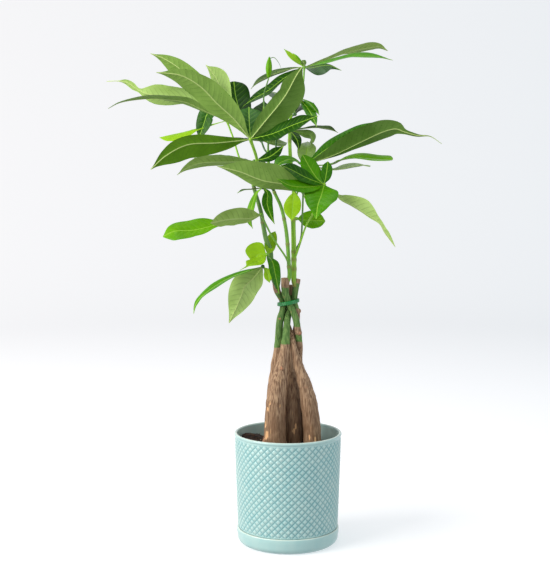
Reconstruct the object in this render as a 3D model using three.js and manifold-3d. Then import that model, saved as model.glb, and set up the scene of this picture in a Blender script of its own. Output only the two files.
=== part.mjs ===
// A potted money tree: five twisted trunks tied together, green shoots and palmate leaves,
// in a glazed diamond-relief pot that stands in its saucer. Millimetres, +Z up.
// The origin is the middle of the saucer's flat underside, and -Y is the side that faces the viewer.
import * as THREE from 'three';
import { mergeVertices } from 'three/addons/utils/BufferGeometryUtils.js';
import Module from 'manifold-3d';

const wasm = await Module();
wasm.setup();

// Driving dimensions
const SEAT = 0.3;
// How far the joined pieces of one solid reach into each other.
const OVERLAP = 1;
const SAUCER = { lipRadius: 72.6, lipTop: 22.5, wall: 3.2, footRadius: 62, floor: 4.5, segments: 40 };
const SAUCER_INNER = SAUCER.lipRadius - SAUCER.wall;
// The saucer's wall, as [radius, height]: outside from the foot to the lip, then inside to the floor.
const SAUCER_WALL = [
  [SAUCER.footRadius, 0],
  [SAUCER.lipRadius - 4, 2.6],
  [SAUCER.lipRadius - 0.8, 8],
  [SAUCER.lipRadius, SAUCER.lipTop - 1.5],
  [SAUCER.lipRadius - 1.4, SAUCER.lipTop],
  [SAUCER_INNER + 0.4, SAUCER.lipTop],
  [SAUCER_INNER - 1.2, 10],
  [SAUCER_INNER - 4, SAUCER.floor],
];
const POT = {
  rimRadius: 76,
  rimInner: 71.4,
  rimTop: 158,
  rimBand: 8,
  tipRadius: 75.2,
  taper: 3.9,
  reliefDepth: 1.4,
  diamondsRound: 40,
  reliefRows: 22,
  reliefBottom: SAUCER.lipTop + 0.8,
  neckRadius: 68.6,
  bottom: SAUCER.floor + SEAT,
  footRadius: 63,
  floor: 12,
  holeRadius: 7,
  holeSegments: 16,
};
const RIM_BOTTOM = POT.rimTop - POT.rimBand;
// The outside of the rim band, as [radius, height] from its lower edge to its top.
const RIM_OUTSIDE = [
  [POT.rimRadius - 0.5, RIM_BOTTOM],
  [POT.rimRadius, POT.rimTop - 1.8],
  [POT.rimRadius - 1.5, POT.rimTop],
];
const RIM_DEPTH = 11.6;
// The outside of the foot and neck below the relief.
const FOOT_OUTSIDE = [
  [POT.footRadius, POT.bottom],
  [POT.neckRadius - 1.5, POT.bottom + 7],
  [POT.neckRadius, POT.reliefBottom + OVERLAP],
];
// The pot's inner wall, as [radius, height] from the floor to the rim.
const CAVITY = [
  [61, POT.floor],
  [65, POT.floor + 6],
  [68, 130],
  [POT.rimInner, POT.rimTop - 1.5],
  [POT.rimInner + 0.6, POT.rimTop + OVERLAP],
];
const SOIL = {
  top: 138,
  crown: 3,
  crownRadius: 26,
  dip: 1,
  dipRadius: 44,
  edge: 2.5,
  edgeWidth: 7,
  segments: 28,
};
const TIE = {
  height: 342.5,
  wire: 1.15,
  pitch: 2.2,
  middle: 0.3,
  halfWidth: 14.4,
  halfDepth: 13.4,
  tilt: 0.18,
  sides: 6,
  segments: 20,
};
// The tie's twisted ends: [x, how far behind the ring, how far above its middle], and their thickness
// in wires.
const TIE_TAIL = { route: [[2, 0, 1], [4, 4, -1], [3, 5, -12]], thickness: 1.4, sides: 6, rings: 4 };
const TRUNK = { sides: 8, rings: 18 };
// Bark waves: their share of the radius, ribs round the trunk, turn along it, and the radius from which
// they have their full depth.
const BARK_WAVES = { depth: 0.035, ribs: 3, turn: 9, fullRadius: 12 };
const KNOB_SQUASH = 0.8;
const SHOOT = { sides: 6, rings: 12 };
// A leaf stalk is thicker by this factor at its foot, and slim from a third of its length on.
const STALK = { radius: 1.3, footFactor: 1.3, slimFrom: 1 / 3, sides: 5, ringsPerSpan: 2 };
const HUB_RADIUS = 3;
// A leaflet's sheet: its least half widths at foot and tip, its fold as a share of half the width,
// and how deep its foot lies in the hub.
const BLADE = { thickness: 0.8, footHalf: 1.2, tipHalf: 0.6, fold: 0.17, footInHub: 0.6 };
// A bud's stalk factors, its least radius, the stretch of a half sine wave that shapes it, and its mesh.
const BUD = {
  stalkFoot: 1.2,
  stalkTip: 0.8,
  leastRadius: 0.5,
  footShare: 0.1,
  tipShare: 0.97,
  sides: 8,
  rings: 6,
};
const CURVE_DIVISIONS = 200;

const FINISH = {
  glaze: finish(0xa9d3d0, 0.25),
  soil: finish(0x3a2b20, 0.95),
  bark: finish(0xa07e5c, 0.85),
  wire: finish(0x0fa04a, 0.3),
  shoot: finish(0x86b52c, 0.5),
  leaf: finish(0x4f8f2a, 0.45),
  leafPale: finish(0x7fa65c, 0.5),
  leafDark: finish(0x2f5e1c, 0.4),
  bud: finish(0x8cbf30, 0.5),
};

function finish(color, roughness) {
  return new THREE.MeshStandardMaterial({ color, roughness, metalness: 0 });
}

// Solids: a closed geometry becomes a solid, is joined or cut, and becomes a geometry again.
function toSolid(geometry) {
  const bare = geometry.clone();
  bare.deleteAttribute('normal');
  bare.deleteAttribute('uv');
  const merged = mergeVertices(bare, 1e-4);
  const positions = merged.attributes.position.array;
  return new wasm.Manifold(
    new wasm.Mesh({ numProp: 3, vertProperties: positions, triVerts: new Uint32Array(merged.index.array) }),
  );
}

function toGeometry(solid) {
  const mesh = solid.getMesh();
  const geometry = new THREE.BufferGeometry();
  geometry.setAttribute('position', new THREE.BufferAttribute(new Float32Array(mesh.vertProperties), 3));
  geometry.setIndex([...mesh.triVerts]);
  geometry.computeVertexNormals();
  return geometry;
}

function join(solids) {
  return solids.reduce((whole, piece) => whole.add(piece));
}

// The largest body of a cut solid, without the loose scraps that a cut can leave.
function mainBody(solid) {
  return solid.decompose().reduce((largest, body) => (body.volume() > largest.volume() ? body : largest));
}

function vector(point) {
  return new THREE.Vector3(...point);
}

// A smooth line through hand-chosen points.
function routeOf(points) {
  return new THREE.CatmullRomCurve3(points.map(vector), false, 'centripetal');
}

// A lathe profile of [radius, height] pairs turned round the Z axis.
function turned(profile, segments) {
  const points = profile.map(([radius, height]) => new THREE.Vector2(radius, height));
  return new THREE.LatheGeometry(points, segments).rotateX(Math.PI / 2);
}

// A closed stem: a cylinder whose rings are carried along a curve, each with its own radius.
function stemGeometry(curve, radiusAt, sides, steps) {
  const geometry = new THREE.CylinderGeometry(1, 1, 1, sides, steps);
  const frames = curve.computeFrenetFrames(steps);
  const position = geometry.attributes.position;
  for (let index = 0; index < position.count; index += 1) {
    const along = 0.5 - position.getY(index);
    const ring = Math.round(along * steps);
    const across = Math.hypot(position.getX(index), position.getZ(index));
    const angle = Math.atan2(position.getZ(index), position.getX(index));
    const radius = across * radiusAt(along, angle);
    const place = curve.getPointAt(along);
    place.addScaledVector(frames.normals[ring], radius * Math.cos(angle));
    place.addScaledVector(frames.binormals[ring], radius * Math.sin(angle));
    position.setXYZ(index, place.x, place.y, place.z);
  }
  return geometry;
}

function stemSolid(curve, radiusAt, sides, steps) {
  const solid = toSolid(stemGeometry(curve, radiusAt, sides, steps));
  return solid.volume() > 0 ? solid : toSolid(flipped(stemGeometry(curve, radiusAt, sides, steps)));
}

// Turns every face of an indexed geometry round.
function flipped(geometry) {
  const index = geometry.index;
  for (let corner = 0; corner < index.count; corner += 3) {
    const first = index.getX(corner);
    index.setX(corner, index.getX(corner + 2));
    index.setX(corner + 2, first);
  }
  return geometry;
}

// Pot: a drum with diamond relief, a smooth rim band and a foot, hollowed out, with a drainage hole.
function reliefDrum() {
  const columns = POT.diamondsRound * 2;
  const rows = POT.reliefRows;
  const reliefHeight = RIM_BOTTOM + OVERLAP - POT.reliefBottom;
  const drum = new THREE.CylinderGeometry(1, 1, 1, columns, rows).rotateX(Math.PI / 2);
  const position = drum.attributes.position;
  const tips = new Set();
  for (let index = 0; index < position.count; index += 1) {
    const across = Math.hypot(position.getX(index), position.getY(index));
    const angle = Math.atan2(position.getY(index), position.getX(index));
    const share = position.getZ(index) + 0.5;
    const row = Math.round(share * rows);
    const column = Math.round((angle / (Math.PI * 2)) * columns);
    const isTip = row > 0 && row < rows && (row + column + columns) % 2 === 0;
    if (isTip) tips.add(index);
    const radius = POT.tipRadius - POT.taper * (1 - share) - (isTip ? 0 : POT.reliefDepth);
    const height = POT.reliefBottom + share * reliefHeight;
    position.setXYZ(index, across * radius * Math.cos(angle), across * radius * Math.sin(angle), height);
  }
  // Each wall cell is split along the groove between its two tips, so that the tips stand up as pyramids.
  const wallCells = columns * rows;
  for (let cell = 0; cell < wallCells; cell += 1) {
    const at = cell * 6;
    const [a, b, d, , c] = drum.index.array.slice(at, at + 6);
    if (tips.has(b) || tips.has(d)) drum.index.array.set([a, b, c, a, c, d], at);
  }
  return drum;
}

function potGeometry() {
  const segments = POT.diamondsRound;
  const sunk = POT.rimRadius - RIM_DEPTH;
  const cavityTop = POT.rimTop + OVERLAP;
  const holeTop = POT.floor + OVERLAP;
  const rim = turned([[sunk, RIM_BOTTOM], ...RIM_OUTSIDE, [sunk, POT.rimTop], [sunk, RIM_BOTTOM]], segments);
  const base = turned([[0, POT.bottom], ...FOOT_OUTSIDE, [0, POT.reliefBottom + OVERLAP]], segments);
  const cavity = turned([[0, POT.floor], ...CAVITY, [0, cavityTop]], segments);
  const holeWall = [
    [POT.holeRadius, 0],
    [POT.holeRadius, holeTop],
  ];
  const hole = turned([[0, 0], ...holeWall, [0, holeTop]], POT.holeSegments);
  const body = join([toSolid(reliefDrum()), toSolid(rim), toSolid(base)]);
  return toGeometry(body.subtract(toSolid(cavity)).subtract(toSolid(hole)));
}

function saucerGeometry() {
  return turned([[0, 0], ...SAUCER_WALL, [0, SAUCER.floor]], SAUCER.segments);
}

// Trunks: hand-chosen points of [x, y, z, radius] from the foot in the soil to the cut end.
const TRUNKS = {
  trunk_1: [
    [-17, -13, 96, 12],
    [-18, -14, 138, 16.5],
    [-18.5, -14, 165, 15],
    [-18, -13.5, 197, 14],
    [-13.5, -12.5, 228, 12],
    [-9.3, -11, 250, 9],
    [-4.5, -10, 277, 6.8],
    [-2.6, -8.2, 300, 5.2],
    [-0.7, -3.7, 319, 4.6],
    [1.5, 2.5, 331, 4.3],
    [3.6, 6.4, 343, 4],
    [3.4, 6.8, 358, 3.7],
    [3.2, 6.9, 366, 3.7],
  ],
  trunk_2: [
    [-18, 18, 96, 10],
    [-20, 19, 138, 13.5],
    [-19.5, 19, 170, 12.5],
    [-18.5, 17, 212, 11.5],
    [-16, 12, 250, 8.3],
    [-13.5, 6, 277, 6.3],
    [-12.8, 1.5, 294, 5.5],
    [-11.2, -1, 319, 4.9],
    [-8.2, -1.2, 331, 4.1],
    [-7.8, -1.2, 343, 4.1],
    [-15.5, -2, 360, 4.7],
    [-18, -2.2, 377, 5],
  ],
  trunk_3: [
    [32, -8, 96, 9],
    [34.5, -8, 138, 12.6],
    [33.6, -8, 165, 12.2],
    [29.6, -8, 197, 12],
    [23, -8, 228, 9.4],
    [15.8, -8.4, 250, 7.1],
    [8.2, -8.4, 278, 4.6],
    [6, -6, 288, 4.2],
    [3.6, 0.4, 298, 4.1],
    [-3.2, 7.2, 318, 3.9],
    [-5, 7.4, 331, 3.7],
    [-4.4, 6.9, 343, 3.5],
    [-4.2, 7.4, 360, 3.5],
  ],
  trunk_4: [
    [8, 8, 96, 8],
    [8, 8, 138, 12],
    [7.2, 8, 170, 11.6],
    [6.6, 8, 197, 10.6],
    [5.4, 9.5, 228, 8],
    [2.5, 12, 250, 6],
    [4.4, 11.6, 277, 4.9],
    [10.4, 9.4, 300, 4.3],
    [12.8, 4.8, 319, 4],
    [12, 2, 331, 3.9],
    [9.2, 0.3, 343, 3.8],
    [10.2, 0.4, 358, 4.2],
    [13.4, 0.6, 375, 4.2],
  ],
  trunk_5: [
    [27.5, 23, 96, 9],
    [29, 25.5, 138, 12.4],
    [28, 24, 170, 11.4],
    [25.5, 21, 205, 9.6],
    [20.5, 19, 230, 8],
    [15, 18, 250, 6.2],
    [15.8, 4, 277, 5.1],
    [15.2, -0.5, 292, 4.8],
    [12.6, -6.2, 310, 4.8],
    [11, -7.4, 319, 4.7],
    [6.7, -8, 331, 4.4],
    [0.6, -7.6, 343, 4.3],
    [-4.2, -7.2, 358, 5.2],
    [-3.8, -6.2, 377, 6],
  ],
};

// Knobs where old leaves and side shoots grew: [x, y, z, radius] on each trunk.
const SCARS = {
  trunk_1: [
    [-30, -20, 147, 7],
    [-9, -20, 252, 3.5],
  ],
  trunk_2: [
    [-11.4, -4.6, 320, 2.6],
    [-12.6, -4, 348.6, 2.4],
  ],
  trunk_3: [[24.5, -14.5, 224, 4]],
  trunk_4: [[15.6, 2.4, 330, 3.2]],
  trunk_5: [
    [16, -6.8, 300, 3.6],
    [-3.8, -10.6, 366, 2.8],
  ],
};

function trunkSolid(name, grow) {
  const points = TRUNKS[name];
  const curve = routeOf(points);
  const lengths = curve.getLengths(CURVE_DIVISIONS);
  const total = lengths[lengths.length - 1];
  const stations = points.map((point, index) => {
    const share = index / (points.length - 1);
    return { at: lengths[Math.round(share * CURVE_DIVISIONS)] / total, radius: point[3] };
  });
  const radiusAt = (along, angle) => {
    const upper = Math.max(1, stations.findIndex((station) => station.at >= along - 1e-6));
    const low = stations[upper - 1];
    const high = stations[upper];
    const share = THREE.MathUtils.clamp((along - low.at) / (high.at - low.at), 0, 1);
    const radius = THREE.MathUtils.lerp(low.radius, high.radius, THREE.MathUtils.smoothstep(share, 0, 1));
    const depth = BARK_WAVES.depth * Math.min(1, radius / BARK_WAVES.fullRadius);
    return radius * (1 + depth * Math.sin(BARK_WAVES.ribs * angle + along * BARK_WAVES.turn)) + grow;
  };
  const stem = stemSolid(curve, radiusAt, TRUNK.sides, TRUNK.rings);
  const knobs = SCARS[name].map(([x, y, z, radius]) =>
    toSolid(new THREE.IcosahedronGeometry(radius + grow, 0).scale(1, 1, KNOB_SQUASH).translate(x, y, z)),
  );
  return join([stem, ...knobs]);
}

// Shoots: hand-chosen points, foot radius and tip radius. The first point lies inside the carrying trunk.
const SHOOTS = {
  shoot_1: {
    carrier: 'trunk_4',
    foot: 3.9,
    tip: 2,
    route: [
      [11.5, 0.2, 363],
      [8.4, -0.6, 372],
      [8, -0.6, 390],
      [8, 2, 412],
      [7, -1, 469],
      [8, -2, 495],
      [3, -1, 544],
      [2, 0, 575],
      [5, -4, 613],
      [9, -6, 628],
    ],
  },
  shoot_2: {
    carrier: 'trunk_5',
    foot: 3,
    tip: 1.9,
    route: [
      [-3.4, -5.6, 367],
      [1.5, -8, 379],
      [1, -8.5, 395],
      [0, -8, 412],
      [-3, -8, 444],
      [-10, -6, 476],
      [-21, -2, 501],
      [-27, 6, 534],
      [-28, 12, 556],
    ],
  },
  shoot_3: {
    carrier: 'trunk_2',
    foot: 3.9,
    tip: 2.4,
    route: [
      [-17, -2.2, 367],
      [-23, -2.2, 384],
      [-25, -2, 415],
      [-31, -2, 431],
      [-38, 0, 469],
      [-48, 0, 504],
      [-52, 0, 526],
    ],
  },
};

function shootSolid(name, grow) {
  const shoot = SHOOTS[name];
  const radiusAt = (along) => THREE.MathUtils.lerp(shoot.foot, shoot.tip, along) + grow;
  return stemSolid(routeOf(shoot.route), radiusAt, SHOOT.sides, SHOOT.rings);
}

// Which way a leaflet's upper side looks.
const UP = [[0, 0, 1]];
const UP_FRONT = [[0, -0.65, 0.75]];
const UP_BACK = [[0, 0.8, 0.6]];
const BACK = [[0, 1, 0.15]];
const FRONT = [[0, -1, 0.25]];

// Leaflet outlines: the stations of the sheet, as [share of the length, share of the full width].
const OUTLINE = {
  oblong: [[0, 0.04], [0.18, 0.5], [0.46, 0.97], [0.74, 0.85], [1, 0.02]],
  full: [[0, 0.06], [0.2, 0.8], [0.4, 1], [0.75, 0.6], [1, 0.02]],
  round: [[0, 0.05], [0.22, 0.74], [0.5, 1], [0.8, 0.8], [1, 0.02]],
  blunt: [[0, 0.05], [0.32, 0.55], [0.74, 1], [0.93, 0.8], [1, 0.1]],
  stalked: [[0, 0.04], [0.2, 0.06], [0.45, 0.85], [0.9, 0.95], [1, 0.3]],
  late: [[0, 0.04], [0.42, 0.4], [0.66, 1], [0.9, 0.7], [1, 0.04]],
  tailed: [[0, 0.05], [0.2, 0.65], [0.44, 1], [0.66, 0.6], [0.75, 0.18], [1, 0.01]],
  twisted: [[0, 0.05], [0.2, 0.6], [0.44, 1], [0.62, 0.75], [0.72, 0.2], [0.8, 0.32], [1, 0.01]],
  waisted: [[0, 0.05], [0.2, 0.4], [0.46, 1], [0.66, 0.45], [0.74, 0.26], [0.84, 0.32], [1, 0.02]],
  small: [[0, 0.05], [0.45, 1], [1, 0.02]],
};

// Leaves: a stalk from the axis of its shoot to the hub, then leaflets from the hub. A stout stalk is
// thicker than usual by the factor given. A leaflet has its width, its outline, the ways its upper side
// looks from foot to tip, the factors of its left and right half from foot to tip, and its points after
// the hub.
const LEAVES = {
  leaf_01: {
    carrier: 'shoot_3',
    finish: FINISH.leafPale,
    stalk: [[-49, 0, 506], [-44, -26, 526], [-43, -44, 541], [-51, -70, 567]],
    stout: 1.6,
    blades: [
      {
        width: 42,
        faces: [[0.1, 0.9, 0.45]],
        left: [1.1, 1.1, 0.7, 0.5],
        right: [0.9],
        path: [[-71, -78, 592], [-94, -86, 613], [-115, -93, 634], [-140, -98, 648], [-172, -100, 652]],
      },
      {
        width: 42,
        outline: OUTLINE.full,
        faces: [[-0.2, 1, 0.2]],
        left: [1.1, 1.1, 2.2],
        right: [0.8, 0.55, 0.65, 1.8],
        path: [[-30, -80, 592], [-17, -88, 607], [-4, -97, 624], [9, -110, 647], [16, -115, 657]],
      },
      { width: 44, faces: [[0, -0.5, 0.9]], path: [[-53, -50, 592], [-54, -25, 612]] },
      {
        width: 36,
        faces: [[0, -0.72, 0.65]],
        left: [0.8],
        right: [1.1],
        path: [[-23, -88, 573], [3, -108, 583], [36, -138, 594]],
      },
      {
        width: 38,
        faces: [[0, 0.9, 0.5]],
        left: [0.66],
        right: [1.15],
        path: [[-95, -84, 562], [-133, -95, 559], [-160, -102, 545], [-180, -105, 527]],
      },
    ],
  },
  leaf_02: {
    carrier: 'shoot_3',
    finish: FINISH.leafPale,
    stalk: [[-51, 0, 516], [-66, 9, 539], [-78, 17, 575], [-86, 20, 596]],
    blades: [
      {
        width: 38,
        faces: UP_BACK,
        left: [1, 0.6],
        path: [[-116, 24, 632], [-149, 28, 666], [-173, 30, 682], [-193, 32, 690]],
      },
      {
        width: 36,
        outline: OUTLINE.twisted,
        faces: [[0, 0.65, 0.8], [0, 0.65, 0.8], [0, 0.8, 0.5], [0, 0.8, 0.5]],
        path: [
          [-117, 28, 618],
          [-145, 34, 629],
          [-173, 42, 631],
          [-200, 48, 635],
          [-212, 52, 640],
          [-231, 57, 652],
          [-245, 61, 654],
          [-260, 66, 654],
        ],
      },
      {
        width: 32,
        faces: [[0, 0.4, 1], [0, 0.3, 1], [0, 0.06, 1], [0, 0.06, 1]],
        path: [
          [-116, 10, 609],
          [-143, 4, 621],
          [-169, 0, 624],
          [-191, -3, 625],
          [-232, -7, 619],
          [-248, -8, 611],
        ],
      },
      {
        width: 40,
        faces: [[0.3, 0.8, 0.5]],
        path: [[-91, 40, 626], [-98, 56, 648], [-107, 68, 665], [-118, 76, 678]],
      },
      {
        width: 26,
        outline: OUTLINE.round,
        faces: [[-0.3, -0.9, 0.4]],
        path: [[-101, 30, 613], [-113, 34, 607], [-119, 36, 592], [-126, 38, 572]],
      },
      {
        width: 26,
        outline: OUTLINE.late,
        faces: [[0, -0.8, 0.6]],
        right: [0.1],
        path: [[-125, 40, 587], [-154, 50, 579], [-184, 58, 574]],
      },
    ],
  },
  leaf_03: {
    carrier: 'shoot_1',
    finish: FINISH.leaf,
    stalk: [[4, -3, 604], [15, -1, 622], [20, -1, 642], [22, 0, 668]],
    blades: [
      {
        width: 32,
        faces: [[0, 0.3, 1], [0, 0.2, 1], [0, 0.6, 0.8]],
        path: [[51, 15, 679], [87, 28, 692], [118, 38, 699], [130, 42, 700], [141, 46, 695]],
      },
      {
        width: 28,
        faces: [[0, -0.36, 1]],
        path: [[50, -8, 673], [84, -18, 680], [107, -26, 680], [123, -31, 678], [140, -35, 674]],
      },
      {
        width: 24,
        outline: OUTLINE.full,
        faces: [[0.2, -0.95, 0.3], [0, -0.95, 0.3]],
        left: [0.4],
        right: [1.7, 1.2, 0.8],
        path: [[31, 25, 669], [46, 60, 675], [61, 85, 678], [79, 104, 673]],
      },
      {
        width: 18,
        faces: [[0, 0.3, 1], [0.1, 0, 1]],
        path: [[2, 15, 667], [-23, 38, 661], [-43, 55, 652], [-53, 62, 643]],
      },
      {
        width: 30,
        faces: [[-0.5, -0.5, 0.7]],
        path: [[-4, 14, 655], [-28, 30, 638], [-49, 40, 627], [-64, 44, 617]],
      },
      { width: 7, outline: OUTLINE.small, faces: FRONT, path: [[8, -4, 679], [-6, -6, 692]] },
      { width: 6, outline: OUTLINE.small, faces: FRONT, path: [[13, 4, 679], [6, 8, 688]] },
      { width: 8, outline: OUTLINE.small, faces: BACK, path: [[21, -12, 672], [18, -26, 675]] },
    ],
  },
  leaf_04: {
    carrier: 'shoot_1',
    finish: FINISH.bud,
    stalk: [[5, -4, 613], [10, -12, 620], [14, -22, 625]],
    blades: [
      {
        width: 13,
        outline: OUTLINE.small,
        faces: [[0.4, -0.5, 0.8]],
        path: [[27, -36, 617], [41, -52, 600]],
      },
      { width: 14, outline: OUTLINE.small, faces: UP_FRONT, path: [[28, -46, 605], [37, -66, 584]] },
      { width: 12, outline: OUTLINE.small, faces: UP_FRONT, path: [[8, -36, 622], [0, -50, 607]] },
    ],
  },
  leaf_05: {
    carrier: 'shoot_1',
    finish: FINISH.leafPale,
    stalk: [[2, 0, 566], [2, 14, 578], [3, 34, 583]],
    blades: [
      { width: 24, faces: [[0, 0.16, 1]], path: [[37, 62, 588], [60, 82, 587], [74, 92, 582]] },
      {
        width: 16,
        outline: OUTLINE.blunt,
        faces: [[0.2, -0.9, 0.4]],
        path: [[22, 58, 579], [33, 72, 577], [38, 82, 568]],
      },
      { width: 15, outline: OUTLINE.small, faces: [[0.3, -0.9, 0.2]], path: [[13, 18, 567], [15, 16, 554]] },
      { width: 28, faces: UP, path: [[8, 84, 594], [10, 138, 584]] },
    ],
  },
  leaf_06: {
    carrier: 'shoot_1',
    finish: FINISH.leaf,
    stalk: [[8, 2, 412], [17, 6, 428], [20, 7, 467], [21, 6, 500], [22, -8, 533]],
    blades: [
      {
        width: 40,
        faces: [[0, -0.6, 0.8]],
        left: [0.7],
        right: [0.8],
        path: [[60, 5, 560], [102, 25, 580], [145, 42, 598]],
      },
      {
        width: 42,
        outline: OUTLINE.tailed,
        faces: [[0, 0.75, 0.65]],
        left: [0.2, 0.3, 0.9, 1],
        path: [
          [66, -20, 549],
          [101, -32, 566],
          [130, -38, 579],
          [145, -40, 582],
          [156, -40, 578],
          [175, -40, 573],
          [191, -40, 572],
          [207, -40, 562],
        ],
      },
      {
        width: 36,
        outline: OUTLINE.stalked,
        faces: [[0, -0.26, 1]],
        path: [[60, -20, 535], [74, -30, 541], [98, -42, 543], [120, -50, 541], [139, -55, 540]],
      },
      {
        width: 22,
        outline: OUTLINE.blunt,
        faces: [[0, 0.25, 1]],
        path: [[63, -28, 527], [82, -50, 531], [96, -68, 533], [106, -82, 531]],
      },
      { width: 26, outline: OUTLINE.full, faces: [[0, -0.6, 0.8]], path: [[27, 36, 558], [29, 84, 569]] },
      { width: 24, faces: [[-0.2, -0.7, 0.7]], path: [[4, -26, 541], [-10, -44, 537], [-18, -56, 530]] },
    ],
  },
  leaf_07: {
    carrier: 'shoot_1',
    finish: FINISH.leaf,
    stalk: [[8, 1, 402], [14, -6, 418], [24, -24, 450], [33, -38, 468], [47, -70, 507]],
    blades: [
      { width: 15, outline: OUTLINE.round, faces: FRONT, path: [[50, -71, 523], [52, -68, 538]] },
      {
        width: 26,
        faces: [[0, -0.7, 0.7]],
        path: [[36, -78, 511], [21, -86, 517], [4, -95, 526], [-12, -104, 533]],
      },
      {
        width: 24,
        outline: OUTLINE.round,
        faces: [[0.2, -0.9, 0.4]],
        path: [[37, -72, 516], [27, -70, 531], [18, -68, 547]],
      },
      {
        width: 40,
        faces: [[0, 0.85, 0.5]],
        left: [0.7, 1.3, 1.1],
        right: [0.6],
        path: [[21, -84, 504], [-5, -94, 508], [-35, -102, 513], [-64, -110, 524], [-93, -116, 531]],
      },
      {
        width: 44,
        outline: OUTLINE.full,
        faces: [[0, -0.7, 0.7]],
        path: [[42, -100, 493], [37, -118, 481], [34, -135, 464]],
      },
      {
        width: 32,
        outline: OUTLINE.waisted,
        faces: [[0, -0.6, 0.8], [0.2, 0.8, 0.5], [0.2, 0.8, 0.5], [0.2, 0.8, 0.5], [0.2, 0.8, 0.5]],
        left: [0.6, 0.2, 0.15, 0.3, 0.6],
        right: [0.6, 1.1, 1.1, 0.9, 0.6],
        path: [
          [59, -74, 498],
          [69, -78, 488],
          [82, -84, 481],
          [103, -92, 468],
          [119, -98, 457],
          [125, -100, 447],
          [132, -102, 437],
          [139, -104, 426],
        ],
      },
      { width: 24, faces: [[0, -0.7, 0.7]], path: [[25, -94, 504], [1, -108, 506], [-16, -118, 515]] },
    ],
  },
  leaf_08: {
    carrier: 'trunk_2',
    finish: FINISH.leafPale,
    stalk: [[-15.5, -2, 360], [-20, -16, 371], [-25, -28, 383], [-35, -42, 396]],
    blades: [
      {
        width: 42,
        outline: OUTLINE.full,
        faces: [[0.3, 0.9, 0.3]],
        left: [0.7, 1, 1],
        right: [1, 0.85, 0.7],
        path: [[-47, -44, 381], [-59, -42, 369], [-64, -38, 356], [-69, -34, 344], [-82, -24, 316]],
      },
      {
        width: 20,
        faces: [[0, -0.2, 1]],
        path: [
          [-56, -48, 390],
          [-81, -56, 381],
          [-103, -61, 368],
          [-120, -64, 354],
          [-126, -66, 344],
          [-128, -66, 334],
        ],
      },
      {
        width: 12,
        outline: OUTLINE.small,
        faces: [[-0.2, -0.9, 0.3]],
        path: [[-29, -44, 389], [-26, -46, 374]],
      },
    ],
  },
  leaf_09: {
    carrier: 'shoot_2',
    finish: FINISH.leaf,
    stalk: [[1, -8.5, 395], [-4, -26, 408], [-22, -38, 436], [-37, -43, 466]],
    blades: [
      {
        width: 33,
        outline: OUTLINE.round,
        faces: UP_BACK,
        left: [1.1],
        right: [0.9],
        path: [[-54, -58, 462], [-66, -70, 462], [-83, -84, 461], [-103, -96, 457]],
      },
      {
        width: 40,
        outline: OUTLINE.late,
        faces: [[0, -0.7, 0.7]],
        left: [1, 0.5, 0.6, 1.5],
        right: [1, 1, 0.9, 0.7],
        path: [
          [-73, -42, 457],
          [-104, -44, 451],
          [-120, -46, 447],
          [-133, -47, 445],
          [-155, -49, 444],
          [-170, -50, 437],
        ],
      },
    ],
  },
  leaf_10: {
    carrier: 'shoot_3',
    finish: FINISH.leaf,
    stalk: [[-52, 0, 521], [-50, -8, 532], [-47, -14, 539]],
    blades: [
      {
        width: 28,
        faces: [[0, 0.55, 0.85]],
        path: [[-86, -36, 538], [-120, -46, 536], [-138, -50, 529], [-150, -52, 520]],
      },
      { width: 24, faces: UP, path: [[-92, -4, 546], [-132, 12, 544]] },
      { width: 26, outline: OUTLINE.small, faces: [[0, -0.5, 0.8]], path: [[-43, 14, 531], [-44, 42, 528]] },
      { width: 16, faces: [[0.2, -0.8, 0.5]], path: [[-26, -14, 545], [-6, -14, 560]] },
    ],
  },
  leaf_11: {
    carrier: 'shoot_2',
    finish: FINISH.leafDark,
    stalk: [[-28, 10, 550], [-33, 30, 556], [-38, 50, 569]],
    blades: [
      {
        width: 44,
        outline: OUTLINE.blunt,
        faces: [[0.1, -0.7, 0.7]],
        right: [0.7, 0.9, 1],
        path: [[-64, 70, 602], [-75, 90, 631], [-79, 104, 657]],
      },
      { width: 34, faces: [[0, -0.5, 0.85]], path: [[-37, 98, 603], [-35, 142, 632]] },
      { width: 16, faces: [[0, -0.9, 0.4]], path: [[-17, 80, 567], [0, 116, 568]] },
      { width: 32, faces: UP, path: [[-76, 96, 572], [-112, 140, 556]] },
    ],
  },
  leaf_12: {
    carrier: 'shoot_1',
    finish: FINISH.leaf,
    stalk: [[7.2, -0.4, 458], [9, 12, 460], [12, 20, 459]],
    blades: [
      {
        width: 30,
        outline: OUTLINE.round,
        faces: [[0, -0.8, 0.6]],
        path: [[20, 24, 457], [38, 27, 456], [53, 28, 455]],
      },
    ],
  },
  leaf_13: {
    carrier: 'shoot_1',
    finish: FINISH.bud,
    stalk: [[8, -2, 492], [8, -14, 499], [8, -22, 499]],
    blades: [{ width: 24, faces: [[-0.2, -0.9, 0.4]], path: [[6, -38, 482], [4, -52, 458]] }],
  },
  leaf_14: {
    carrier: 'shoot_2',
    finish: FINISH.leafDark,
    stalk: [[-20, -2, 499], [-28, -18, 504], [-35, -28, 503]],
    blades: [
      {
        width: 15,
        outline: OUTLINE.full,
        faces: [[0.2, -0.9, 0.4]],
        path: [[-29, -32, 496], [-29, -42, 480], [-24, -48, 465], [-19, -52, 454]],
      },
      {
        width: 12,
        outline: OUTLINE.small,
        faces: UP,
        path: [[-47, -46, 501], [-60, -58, 500], [-69, -66, 496]],
      },
      {
        width: 12,
        outline: OUTLINE.small,
        faces: [[-0.4, -0.8, 0.5]],
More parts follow.
